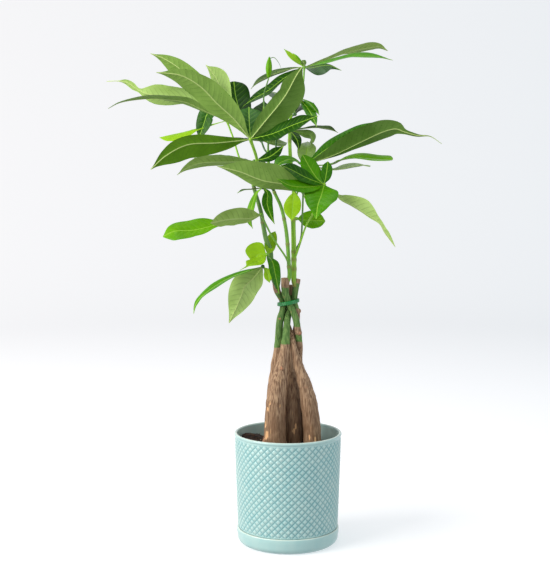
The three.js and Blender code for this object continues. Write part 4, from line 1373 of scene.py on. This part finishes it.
@dataclass(frozen=True)
class Shoot:
    """A green shoot that grows out of a trunk's cut end, with a ring at each node."""

    route: tuple[Point, ...]
    foot: float
    tip: float
    tone: StemTone
    nodes: tuple[float, ...]

    LABELS = ("scar",)

    def build(self, node: str) -> None:
        """Builds the shoot that stands for a solid of the model.

        Args:
            node: The solid's name.
        """
        draft = Draft(self.LABELS)

        def ring(along: float) -> float:
            """Gives how near a node is, from 0 to 1."""
            return max((math.exp(-(((along - at) / 0.011) ** 2)) for at in self.nodes), default=0.0)

        def radius(along: float) -> float:
            """Gives the shoot's radius."""
            return lerp(self.foot, self.tip, along) * (1 + 0.14 * ring(along))

        def cork(along: float) -> float:
            """Gives how corky the skin is: brown at the foot and at the nodes."""
            return max(0.55 * ring(along), 0.8 * (1 - smooth(0.0, 0.06, along)))

        stem(draft, Route(self.route), radius, 20, 150, cork)
        draft.piece(f"{node}_green", [self.tone.finish()], node)


@dataclass(frozen=True)
class Bud:
    """Young leaflets still folded together on a thin stalk, with the thread of one leaf tip beside them."""

    stalk: tuple[Point, ...]
    tip: Point
    radius: float
    thread: tuple[Point, ...]

    SIDES = 40
    STEPS = 40
    TWIST = 0.7
    FOLDS = 5
    FOLD_DEPTH = 0.26

    def build(self, node: str) -> None:
        """Builds the bud that stands for a solid of the model.

        Args:
            node: The solid's name.
        """
        draft = Draft(Leaf.LABELS)
        stem(draft, Route(self.stalk), lambda along: lerp(1.5, 0.9, along), 12, 40, lambda along: 0.0)
        foot, tip = Vector(self.stalk[-1]), Vector(self.tip)
        rings, values = [], []
        axis = (tip - foot).normalized()
        side = axis.cross(Vector((0, -1, 0))).normalized()
        out = side.cross(axis)
        for step in range(self.STEPS + 1):
            share = step / self.STEPS
            body = math.sin(math.pi * min(0.985, share * 0.9 + 0.08)) ** 0.8
            ring, row = [], []
            for at in range(self.SIDES):
                angle = 2 * math.pi * at / self.SIDES + share * self.TWIST
                groove = abs(math.sin(angle * self.FOLDS / 2))
                radius = self.radius * body * (1 - self.FOLD_DEPTH + self.FOLD_DEPTH * groove**0.7)
                across = side * (radius * math.cos(angle))
                ring.append(foot.lerp(tip, share) + across + out * (radius * math.sin(angle)))
                row.append((self.FOLDS / 2 * angle / math.pi, 3.0, 0.2, 0.0))
            rings.append(ring)
            values.append(row)
        draft.loft(rings, values, lambda column: 1)
        stem(draft, Route(self.thread), lambda along: lerp(0.55, 0.2, along), 8, 24, lambda along: 0.0)
        finishes: list[Finish] = [StemTone.OLD.finish(), Tone.YOUNG.skins()[0]]
        draft.piece(f"{node}_folded", finishes, node)


GLAZE = GlazedStoneware("teal_gloss_glaze")
POTTING_MIX = PottingMix("peat_potting_mix")
# Chips of bark are warmer and a little paler than the mix, so the surface looks loose.
CHIP = PottingMix("bark_chip", "#1C120B", "#6A4728", 2.0)
# A few grains of perlite catch the light as cream dots.
GRAIN = PottingMix("pale_perlite", "#B9A98A", "#E9DDC6", 1.0)
BARK = Bark("pachira_bark")
WIRE = CoatedWire("green_coated_wire")

UP = (0, 0, 1)
UP_FRONT = (0, -0.65, 0.75)
UP_BACK = (0, 0.8, 0.6)
BACK = (0, 1, 0.15)
FRONT = (0, -1, 0.25)

TRUNKS = {
    "trunk_1": Trunk(
        points=(
            (-17, -13, 96, 12), (-18, -14, 138, 16.5), (-18.5, -14, 165, 15), (-18, -13.5, 197, 14),
            (-13.5, -12.5, 228, 12), (-9.3, -11, 250, 9), (-4.5, -10, 277, 6.8), (-2.6, -8.2, 300, 5.2),
            (-0.7, -3.7, 319, 4.6), (1.5, 2.5, 331, 4.3), (3.6, 6.4, 343, 4), (3.4, 6.8, 358, 3.7),
            (3.2, 6.9, 366, 3.7),
        ),
        green=((285, 352),), knobs=((-30, -20, 147, 7), (-9, -20, 252, 3.5)),
        peeled=(
            (-20.8, -27, 225, 1.8), (-26, -25, 203.5, 2), (-28.7, -23, 195, 1.8), (-10.6, -26, 200, 1.7),
            (-32, -19, 172, 3), (-30, -23, 158, 3.2),
        ),
    ),
    "trunk_2": Trunk(
        points=(
            (-18, 18, 96, 10), (-20, 19, 138, 13.5), (-19.5, 19, 170, 12.5), (-18.5, 17, 212, 11.5),
            (-16, 12, 250, 8.3), (-13.5, 6, 277, 6.3), (-12.8, 1.5, 294, 5.5), (-11.2, -1, 319, 4.9),
            (-8.2, -1.2, 331, 4.1), (-7.8, -1.2, 343, 4.1), (-15.5, -2, 360, 4.7), (-18, -2.2, 377, 5),
        ),
        green=((278, 356),), knobs=((-11.4, -4.6, 320, 2.6), (-12.6, -4, 348.6, 2.4)),
    ),
    "trunk_3": Trunk(
        points=(
            (32, -8, 96, 9), (34.5, -8, 138, 12.6), (33.6, -8, 165, 12.2), (29.6, -8, 197, 12),
            (23, -8, 228, 9.4), (15.8, -8.4, 250, 7.1), (8.2, -8.4, 278, 4.6), (6, -6, 288, 4.2),
            (3.6, 0.4, 298, 4.1), (-3.2, 7.2, 318, 3.9), (-5, 7.4, 331, 3.7), (-4.4, 6.9, 343, 3.5),
            (-4.2, 7.4, 360, 3.5),
        ),
        green=((312, 352),), knobs=((24.5, -14.5, 224, 4),),
        peeled=((30, -19, 154, 2.2), (38, -19, 151, 2.4)),
    ),
    "trunk_4": Trunk(
        points=(
            (8, 8, 96, 8), (8, 8, 138, 12), (7.2, 8, 170, 11.6), (6.6, 8, 197, 10.6), (5.4, 9.5, 228, 8),
            (2.5, 12, 250, 6), (4.4, 11.6, 277, 4.9), (10.4, 9.4, 300, 4.3), (12.8, 4.8, 319, 4),
            (12, 2, 331, 3.9), (9.2, 0.3, 343, 3.8), (10.2, 0.4, 358, 4.2), (13.4, 0.6, 375, 4.2),
        ),
        green=((334, 369),), knobs=((15.6, 2.4, 330, 3.2),), peeled=((11, -3, 166, 2.2), (8, -3.5, 159, 2.4)),
    ),
    "trunk_5": Trunk(
        points=(
            (27.5, 23, 96, 9), (29, 25.5, 138, 12.4), (28, 24, 170, 11.4), (25.5, 21, 205, 9.6),
            (20.5, 19, 230, 8), (15, 18, 250, 6.2), (15.8, 4, 277, 5.1), (15.2, -0.5, 292, 4.8),
            (12.6, -6.2, 310, 4.8), (11, -7.4, 319, 4.7), (6.7, -8, 331, 4.4), (0.6, -7.6, 343, 4.3),
            (-4.2, -7.2, 358, 5.2), (-3.8, -6.2, 377, 6),
        ),
        green=((287, 297), (309, 364)), knobs=((16, -6.8, 300, 3.6), (-3.8, -10.6, 366, 2.8)),
    ),
}

SHOOTS = {
    "shoot_1": Shoot(
        route=(
            (11.5, 0.2, 363), (8.4, -0.6, 372), (8, -0.6, 390), (8, 2, 412), (7, -1, 469), (8, -2, 495),
            (3, -1, 544), (2, 0, 575), (5, -4, 613), (9, -6, 628),
        ),
        foot=3.9, tip=2, tone=StemTone.BRIGHT, nodes=(0.1, 0.15, 0.19, 0.36, 0.44, 0.49, 0.77, 0.82, 0.92),
    ),
    "shoot_2": Shoot(
        route=(
            (-3.4, -5.6, 367), (1.5, -8, 379), (1, -8.5, 395), (0, -8, 412), (-3, -8, 444), (-10, -6, 476),
            (-21, -2, 501), (-27, 6, 534), (-28, 12, 556),
        ),
        foot=3, tip=1.9, tone=StemTone.GREEN, nodes=(0.14, 0.3, 0.48, 0.68, 0.95),
    ),
    "shoot_3": Shoot(
        route=(
            (-17, -2.2, 367), (-23, -2.2, 384), (-25, -2, 415), (-31, -2, 431), (-38, 0, 469), (-48, 0, 504),
            (-52, 0, 526),
        ),
        foot=3.9, tip=2.4, tone=StemTone.OLD, nodes=(0.3, 0.55, 0.85, 0.92),
    ),
}

# Every point below is listed one by one: stalks run from their shoot, blades from the stalk's end.
LEAVES = {
    "leaf_01": Leaf(
        stalk=((-49, 0, 506), (-44, -26, 526), (-43, -44, 541), (-51, -70, 567)), stem=StemTone.BRIGHT,
        stout=1.6,
        blades=(
            Blade(
                42, ((-71, -78, 592), (-94, -86, 613), (-115, -93, 634), (-140, -98, 648), (-172, -100, 652)),
                ((0.1, 0.9, 0.45),), Tone.MATURE, left=(1.1, 1.1, 0.7, 0.5), right=(0.9,),
            ),
            Blade(
                42, ((-30, -80, 592), (-17, -88, 607), (-4, -97, 624), (9, -110, 647), (16, -115, 657)),
                ((-0.2, 1, 0.2),), Tone.SHADED, Outline.FULL, left=(1.1, 1.1, 2.2),
                right=(0.8, 0.55, 0.65, 1.8),
            ),
            Blade(44, ((-53, -50, 592), (-54, -25, 612)), ((0, -0.5, 0.9),), Tone.DUSKY),
            Blade(
                36, ((-23, -88, 573), (3, -108, 583), (36, -138, 594)), ((0, -0.72, 0.65),), Tone.DEEP,
                left=(0.8,), right=(1.1,),
            ),
            Blade(
                38, ((-95, -84, 562), (-133, -95, 559), (-160, -102, 545), (-180, -105, 527)),
                ((0, 0.9, 0.5),), Tone.DUSKY, left=(0.66,), right=(1.15,),
            ),
        ),
    ),
    "leaf_02": Leaf(
        stalk=((-51, 0, 516), (-66, 9, 539), (-78, 17, 575), (-86, 20, 596)), stem=StemTone.BRIGHT,
        blades=(
            Blade(
                38, ((-116, 24, 632), (-149, 28, 666), (-173, 30, 682), (-193, 32, 690)), (UP_BACK,),
                Tone.MATURE, left=(1, 0.6),
            ),
            Blade(
                36,
                (
                    (-117, 28, 618), (-145, 34, 629), (-173, 42, 631), (-200, 48, 635), (-212, 52, 640),
                    (-231, 57, 652), (-245, 61, 654), (-260, 66, 654),
                ),
                ((0, 0.65, 0.8), (0, 0.65, 0.8), (0, 0.8, 0.5), (0, 0.8, 0.5)), Tone.YOUNG, Outline.TWISTED,
                wave=1.4,
            ),
            Blade(
                32,
                (
                    (-116, 10, 609), (-143, 4, 621), (-169, 0, 624), (-191, -3, 625), (-232, -7, 619),
                    (-248, -8, 611),
                ),
                ((0, 0.4, 1), (0, 0.3, 1), (0, 0.06, 1), (0, 0.06, 1)), Tone.MATURE,
            ),
            Blade(
                40, ((-91, 40, 626), (-98, 56, 648), (-107, 68, 665), (-118, 76, 678)), ((0.3, 0.8, 0.5),),
                Tone.YOUNG,
            ),
            Blade(
                26, ((-101, 30, 613), (-113, 34, 607), (-119, 36, 592), (-126, 38, 572)),
                ((-0.3, -0.9, 0.4),), Tone.DUSKY, Outline.ROUND,
            ),
            Blade(
                26, ((-125, 40, 587), (-154, 50, 579), (-184, 58, 574)), ((0, -0.8, 0.6),), Tone.LIME,
                Outline.LATE, right=(0.1,),
            ),
        ),
    ),
    "leaf_03": Leaf(
        stalk=((4, -3, 604), (15, -1, 622), (20, -1, 642), (22, 0, 668)),
        blades=(
            Blade(
                32, ((51, 15, 679), (87, 28, 692), (118, 38, 699), (130, 42, 700), (141, 46, 695)),
                ((0, 0.3, 1), (0, 0.2, 1), (0, 0.6, 0.8)), Tone.FRESH,
            ),
            Blade(
                28, ((50, -8, 673), (84, -18, 680), (107, -26, 680), (123, -31, 678), (140, -35, 674)),
                ((0, -0.36, 1),), Tone.FRESH,
            ),
            Blade(
                24, ((31, 25, 669), (46, 60, 675), (61, 85, 678), (79, 104, 673)),
                ((0.2, -0.95, 0.3), (0, -0.95, 0.3)), Tone.DUSKY, Outline.FULL, left=(0.4,),
                right=(1.7, 1.2, 0.8),
            ),
            Blade(
                18, ((2, 15, 667), (-23, 38, 661), (-43, 55, 652), (-53, 62, 643)),
                ((0, 0.3, 1), (0.1, 0, 1)), Tone.PALE,
            ),
            Blade(
                30, ((-4, 14, 655), (-28, 30, 638), (-49, 40, 627), (-64, 44, 617)), ((-0.5, -0.5, 0.7),),
                Tone.DEEP,
            ),
            Blade(7, ((8, -4, 679), (-6, -6, 692)), (FRONT,), Tone.LIME),
            Blade(6, ((13, 4, 679), (6, 8, 688)), (FRONT,), Tone.YOUNG),
            Blade(8, ((21, -12, 672), (18, -26, 675)), (BACK,), Tone.MATURE),
        ),
    ),
    "leaf_04": Leaf(
        stalk=((5, -4, 613), (10, -12, 620), (14, -22, 625)), stem=StemTone.BRIGHT,
        blades=(
            Blade(13, ((27, -36, 617), (41, -52, 600)), ((0.4, -0.5, 0.8),), Tone.MATURE),
            Blade(14, ((28, -46, 605), (37, -66, 584)), (UP_FRONT,), Tone.MATURE),
            Blade(12, ((8, -36, 622), (0, -50, 607)), (UP_FRONT,), Tone.MATURE),
        ),
    ),
    "leaf_05": Leaf(
        stalk=((2, 0, 566), (2, 14, 578), (3, 34, 583)),
        blades=(
            Blade(24, ((37, 62, 588), (60, 82, 587), (74, 92, 582)), ((0, 0.16, 1),), Tone.DEEP),
            Blade(
                16, ((22, 58, 579), (33, 72, 577), (38, 82, 568)), ((0.2, -0.9, 0.4),), Tone.PALE,
                Outline.BLUNT,
            ),
            Blade(15, ((13, 18, 567), (15, 16, 554)), ((0.3, -0.9, 0.2),), Tone.DEEP, Outline.FULL),
            Blade(28, ((8, 84, 594), (10, 138, 584)), (UP,), Tone.MATURE),
        ),
    ),
    "leaf_06": Leaf(
        stalk=((8, 2, 412), (17, 6, 428), (20, 7, 467), (21, 6, 500), (22, -8, 533)), stem=StemTone.OLD,
        blades=(
            Blade(
                40, ((60, 5, 560), (102, 25, 580), (145, 42, 598)), ((0, -0.6, 0.8),), Tone.MATURE,
                left=(0.7,), right=(0.8,),
            ),
            Blade(
                42,
                (
                    (66, -20, 549), (101, -32, 566), (130, -38, 579), (145, -40, 582), (156, -40, 578),
                    (175, -40, 573), (191, -40, 572), (207, -40, 562),
                ),
                ((0, 0.75, 0.65),), Tone.SHADED, Outline.TAILED, left=(0.2, 0.3, 0.9, 1.0),
            ),
            Blade(
                36, ((60, -20, 535), (74, -30, 541), (98, -42, 543), (120, -50, 541), (139, -55, 540)),
                ((0, -0.26, 1),), Tone.YOUNG, Outline.STALKED,
            ),
            Blade(
                22, ((63, -28, 527), (82, -50, 531), (96, -68, 533), (106, -82, 531)), ((0, 0.25, 1),),
                Tone.PALE, Outline.BLUNT,
            ),
            Blade(26, ((27, 36, 558), (29, 84, 569)), ((0, -0.6, 0.8),), Tone.PALE, Outline.FULL),
            Blade(24, ((4, -26, 541), (-10, -44, 537), (-18, -56, 530)), ((-0.2, -0.7, 0.7),), Tone.FRESH),
        ),
    ),
    "leaf_07": Leaf(
        stalk=((8, 1, 402), (14, -6, 418), (24, -24, 450), (33, -38, 468), (47, -70, 507)),
        stem=StemTone.BRIGHT,
        blades=(
            Blade(15, ((50, -71, 523), (52, -68, 538)), (FRONT,), Tone.MATURE, Outline.ROUND),
            Blade(
                26, ((36, -78, 511), (21, -86, 517), (4, -95, 526), (-12, -104, 533)), ((0, -0.7, 0.7),),
                Tone.DUSKY,
            ),
            Blade(
                24, ((37, -72, 516), (27, -70, 531), (18, -68, 547)), ((0.2, -0.9, 0.4),), Tone.FRESH,
                Outline.ROUND,
            ),
            Blade(
                40, ((21, -84, 504), (-5, -94, 508), (-35, -102, 513), (-64, -110, 524), (-93, -116, 531)),
                ((0, 0.85, 0.5),), Tone.MATURE, left=(0.7, 1.3, 1.1), right=(0.6,),
            ),
            Blade(
                44, ((42, -100, 493), (37, -118, 481), (34, -135, 464)), ((0, -0.7, 0.7),), Tone.FRESH,
                Outline.FULL,
            ),
            Blade(
                32,
                (
                    (59, -74, 498), (69, -78, 488), (82, -84, 481), (103, -92, 468), (119, -98, 457),
                    (125, -100, 447), (132, -102, 437), (139, -104, 426),
                ),
                ((0, -0.6, 0.8), (0.2, 0.8, 0.5), (0.2, 0.8, 0.5), (0.2, 0.8, 0.5), (0.2, 0.8, 0.5)),
                Tone.YOUNG, Outline.WAISTED, left=(0.6, 0.2, 0.15, 0.3, 0.6), right=(0.6, 1.1, 1.1, 0.9, 0.6),
            ),
            Blade(24, ((25, -94, 504), (1, -108, 506), (-16, -118, 515)), ((0, -0.7, 0.7),), Tone.FRESH),
        ),
    ),
    "leaf_08": Leaf(
        stalk=((-15.5, -2, 360), (-20, -16, 371), (-25, -28, 383), (-35, -42, 396)), stem=StemTone.DARK,
        blades=(
            Blade(
                42, ((-47, -44, 381), (-59, -42, 369), (-64, -38, 356), (-69, -34, 344), (-82, -24, 316)),
                ((0.3, 0.9, 0.3),), Tone.YOUNG, Outline.FULL, left=(0.7, 1, 1), right=(1, 0.85, 0.7),
            ),
            Blade(
                20,
                (
                    (-56, -48, 390), (-81, -56, 381), (-103, -61, 368), (-120, -64, 354), (-126, -66, 344),
                    (-128, -66, 334),
                ),
                ((0, -0.2, 1),), Tone.FRESH,
            ),
            Blade(12, ((-29, -44, 389), (-26, -46, 374)), ((-0.2, -0.9, 0.3),), Tone.LIME),
        ),
    ),
    "leaf_09": Leaf(
        stalk=((1, -8.5, 395), (-4, -26, 408), (-22, -38, 436), (-37, -43, 466)),
        blades=(
            Blade(
                33, ((-54, -58, 462), (-66, -70, 462), (-83, -84, 461), (-103, -96, 457)), (UP_BACK,),
                Tone.FRESH, Outline.ROUND, left=(1.1,), right=(0.9,),
            ),
            Blade(
                40,
                (
                    (-73, -42, 457), (-104, -44, 451), (-120, -46, 447), (-133, -47, 445), (-155, -49, 444),
                    (-170, -50, 437),
                ),
                ((0, -0.7, 0.7),), Tone.YOUNG, Outline.LATE, left=(1, 0.5, 0.6, 1.5), right=(1, 1, 0.9, 0.7),
            ),
        ),
    ),
    "leaf_10": Leaf(
        stalk=((-52, 0, 521), (-50, -8, 532), (-47, -14, 539)), stem=StemTone.OLD,
        blades=(
            Blade(
                28, ((-86, -36, 538), (-120, -46, 536), (-138, -50, 529), (-150, -52, 520)),
                ((0, 0.55, 0.85),), Tone.FRESH,
            ),
            Blade(24, ((-92, -4, 546), (-132, 12, 544)), (UP,), Tone.MATURE),
            Blade(26, ((-43, 14, 531), (-44, 42, 528)), ((0, -0.5, 0.8),), Tone.DEEP),
            Blade(16, ((-26, -14, 545), (-6, -14, 560)), ((0.2, -0.8, 0.5),), Tone.DEEP),
        ),
    ),
    "leaf_11": Leaf(
        stalk=((-28, 10, 550), (-33, 30, 556), (-38, 50, 569)), stem=StemTone.DARK,
        blades=(
            Blade(
                44, ((-64, 70, 602), (-75, 90, 631), (-79, 104, 657)), ((0.1, -0.7, 0.7),), Tone.DEEP,
                Outline.BLUNT, right=(0.7, 0.9, 1),
            ),
            Blade(34, ((-37, 98, 603), (-35, 142, 632)), ((0, -0.5, 0.85),), Tone.DEEP),
            Blade(16, ((-17, 80, 567), (0, 116, 568)), ((0, -0.9, 0.4),), Tone.PALE),
            Blade(32, ((-76, 96, 572), (-112, 140, 556)), (UP,), Tone.DEEP),
        ),
    ),
    "leaf_12": Leaf(
        stalk=((7.2, -0.4, 458), (9, 12, 460), (12, 20, 459)), stem=StemTone.BRIGHT,
        blades=(
            Blade(
                30, ((20, 24, 457), (38, 27, 456), (53, 28, 455)), ((0, -0.8, 0.6),), Tone.YOUNG,
                Outline.ROUND,
            ),
        ),
    ),
    "leaf_13": Leaf(
        stalk=((8, -2, 492), (8, -14, 499), (8, -22, 499)), stem=StemTone.BRIGHT,
        blades=(Blade(24, ((6, -38, 482), (4, -52, 458)), ((-0.2, -0.9, 0.4),), Tone.LIME),),
    ),
    "leaf_14": Leaf(
        stalk=((-20, -2, 499), (-28, -18, 504), (-35, -28, 503)), stem=StemTone.DARK,
        blades=(
            Blade(
                15, ((-29, -32, 496), (-29, -42, 480), (-24, -48, 465), (-19, -52, 454)), ((0.2, -0.9, 0.4),),
                Tone.MATURE, Outline.FULL,
            ),
            Blade(12, ((-47, -46, 501), (-60, -58, 500), (-69, -66, 496)), (UP,), Tone.DEEP),
            Blade(
                12, ((-43, -22, 496), (-50, -14, 478), (-54, -12, 458), (-49, -12, 446)),
                ((-0.4, -0.8, 0.5),), Tone.YOUNG,
            ),
        ),
    ),
    "leaf_15": Leaf(
        stalk=((-24, 1, 515), (-17, 14, 545), (-16.4, 20, 572), (-6, 32, 596), (10, 42, 606)),
        stem=StemTone.DARK,
        blades=(
            Blade(36, ((20, 92, 622), (24, 148, 618)), (UP,), Tone.DEEP),
            Blade(34, ((-8, 88, 630), (-22, 134, 644)), (UP,), Tone.DEEP),
            Blade(26, ((6, 70, 630), (-2, 108, 650)), ((0, -0.5, 0.8),), Tone.DEEP),
        ),
    ),
    "leaf_16": Leaf(
        stalk=((-49.2, 0, 510), (-51, 20, 516), (-56, 48, 532)),
        blades=(
            Blade(36, ((-98, 84, 546), (-146, 112, 540)), (UP,), Tone.MATURE),
            Blade(36, ((-78, 104, 542), (-92, 156, 532)), (UP,), Tone.MATURE),
            Blade(34, ((-50, 108, 538), (-44, 162, 524)), (UP,), Tone.MATURE),
            Blade(30, ((-30, 82, 528), (-4, 118, 512)), ((0, 0.3, 0.9),), Tone.MATURE),
        ),
    ),
    "leaf_17": Leaf(
        stalk=((7.6, -1.6, 482), (10, 14, 488), (16, 34, 502)),
        blades=(
            Blade(34, ((34, 78, 512), (40, 124, 500)), (UP,), Tone.MATURE),
            Blade(36, ((8, 92, 512), (-6, 146, 500)), (UP,), Tone.MATURE),
            Blade(30, ((30, 56, 494), (40, 84, 474)), ((0, -0.3, 1),), Tone.FRESH),
        ),
    ),
    "leaf_18": Leaf(
        stalk=((-24.6, -2, 404), (-27, -13, 408), (-29, -24, 411)),
        blades=(
            Blade(
                24, ((-42, -38, 402), (-54, -50, 398), (-66, -60, 392)), ((-0.3, -0.6, 0.7),), Tone.LIME,
                Outline.TAILED,
            ),
            Blade(
                24, ((-41, -22, 411), (-50, -24, 401)), ((0, -0.9, 0.3),), Tone.LIME, Outline.ROUND,
                left=(0.5,), right=(1.5,),
            ),
            Blade(17, ((-25, 6, 425), (-18, 20, 441)), ((0.3, -0.8, 0.4),), Tone.LIME, Outline.ROUND),
            Blade(
                19, ((-22, -40, 402), (-18, -52, 385), (-13, -58, 360)), ((0.5, -0.7, 0.4),), Tone.MATURE,
                Outline.FULL,
            ),
        ),
    ),
}

BUDS = {
    "bud_1": Bud(
        stalk=((-28, 12, 554), (-28, 4, 582), (-34, -3, 625), (-27, -9, 653)), tip=(-26, -12, 681),
        radius=4.6, thread=((-25, -11, 679), (-20, -11, 680), (-14, -10, 674), (-10, -9, 666)),
    ),
}


@dataclass
class Studio:
    """The plain pale cove, the soft lights and the camera at the photograph's viewing angle."""

    eye: Point = (-18.4, -1626.0, 516.0)
    pitch_deg: float = 5.49
    lens_mm: float = 72.3
    sensor_mm: float = 36.0
    floor_radius: float = 2600.0
    cove_radius: float = 1300.0
    cove_height: float = 3200.0
    cove_sides: int = 96
    aim: Point = (0.0, 0.0, 380.0)
    sky: str = "#F6F7F9"
    sky_strength: float = 0.5

    LAMPS = (
        ("key", (-1700, -900, 1100), 1500, 48, "#FFFAF2"),
        ("top", (-300, 100, 2300), 1400, 12, "#FCFCFC"),
        ("fill", (1800, -1300, 800), 1300, 11, "#F2FDFF"),
    )

    def camera(self) -> None:
        """Sets the camera."""
        data = bpy.data.cameras.new("camera")
        data.lens = self.lens_mm
        data.sensor_width = self.sensor_mm
        data.clip_end = 50
        thing = bpy.data.objects.new("camera", data)
        thing.location = Vector(self.eye) * MM
        thing.rotation_euler = (math.radians(90 - self.pitch_deg), 0, 0)
        bpy.context.scene.collection.objects.link(thing)
        bpy.context.scene.camera = thing

    def cove(self) -> None:
        """Builds the round cove: a flat floor that curves up into a wall on every side."""
        outline = [(600.0 * step, 0.0) for step in range(5)]
        for turn in range(0, 91, 9):
            angle = math.radians(turn)
            out = self.floor_radius + self.cove_radius * math.sin(angle)
            outline.append((out, self.cove_radius * (1 - math.cos(angle))))
        outline.append((self.floor_radius + self.cove_radius, self.cove_height))
        sides = self.cove_sides
        points = [spot * MM for radius, height in outline for spot in circle(radius, height, sides)]
        faces = []
        for row in range(len(outline) - 1):
            for side in range(sides):
                beside = (side + 1) % sides
                low, high = row * sides, (row + 1) * sides
                faces.append((low + side, low + beside, high + beside, high + side))
        mesh = bpy.data.meshes.new("cove")
        mesh.from_pydata(points, [], faces)
        mesh.polygons.foreach_set("use_smooth", [True] * len(faces))
        mesh.materials.append(SeamlessPaper("white_seamless_paper").material())
        thing = bpy.data.objects.new("cove", mesh)
        bpy.context.scene.collection.objects.link(thing)
        thing.visible_diffuse = False

    def lamp(self, name: str, place: Point, size: float, watts: float, tone: str) -> None:
        """Hangs a square soft light that looks at the plant.

        Args:
            name: The light's name.
            place: Where it hangs, in millimetres.
            size: The length of its side, in millimetres.
            watts: Its power.
            tone: Its colour.
        """
        data = bpy.data.lights.new(name, "AREA")
        data.size = size * MM
        data.energy = watts
        data.color = linear(tone)[:3]
        thing = bpy.data.objects.new(name, data)
        thing.location = Vector(place) * MM
        aim = Vector(self.aim) - Vector(place)
        thing.rotation_euler = aim.to_track_quat("-Z", "Y").to_euler()
        thing.visible_camera = False
        bpy.context.scene.collection.objects.link(thing)

    def build(self) -> None:
        """Sets up the studio."""
        self.camera()
        self.cove()
        for lamp in self.LAMPS:
            self.lamp(*lamp)
        world = bpy.data.worlds.new("studio")
        world.use_nodes = True
        sky = world.node_tree.nodes["Background"]
        feed(world.node_tree, sky, {"Color": self.sky, "Strength": self.sky_strength})
        bpy.context.scene.world = world
        bpy.context.scene.view_settings.view_transform = "Standard"


def main() -> None:
    """Builds the studio, the pot, the woody parts, the shoots and the leaves."""
    logging.basicConfig(level=logging.INFO, format="%(message)s")
    Studio().build()
    Saucer().build()
    Pot().build()
    Soil().build()
    for node, trunk in TRUNKS.items():
        trunk.build(node)
    Tie().build()
    for node, shoot in SHOOTS.items():
        shoot.build(node)
    draw = random.Random(SEED)
    for node, leaf in LEAVES.items():
        leaf.build(node, draw)
    for node, bud in BUDS.items():
        bud.build(node)


if __name__ == "__main__":
    main()
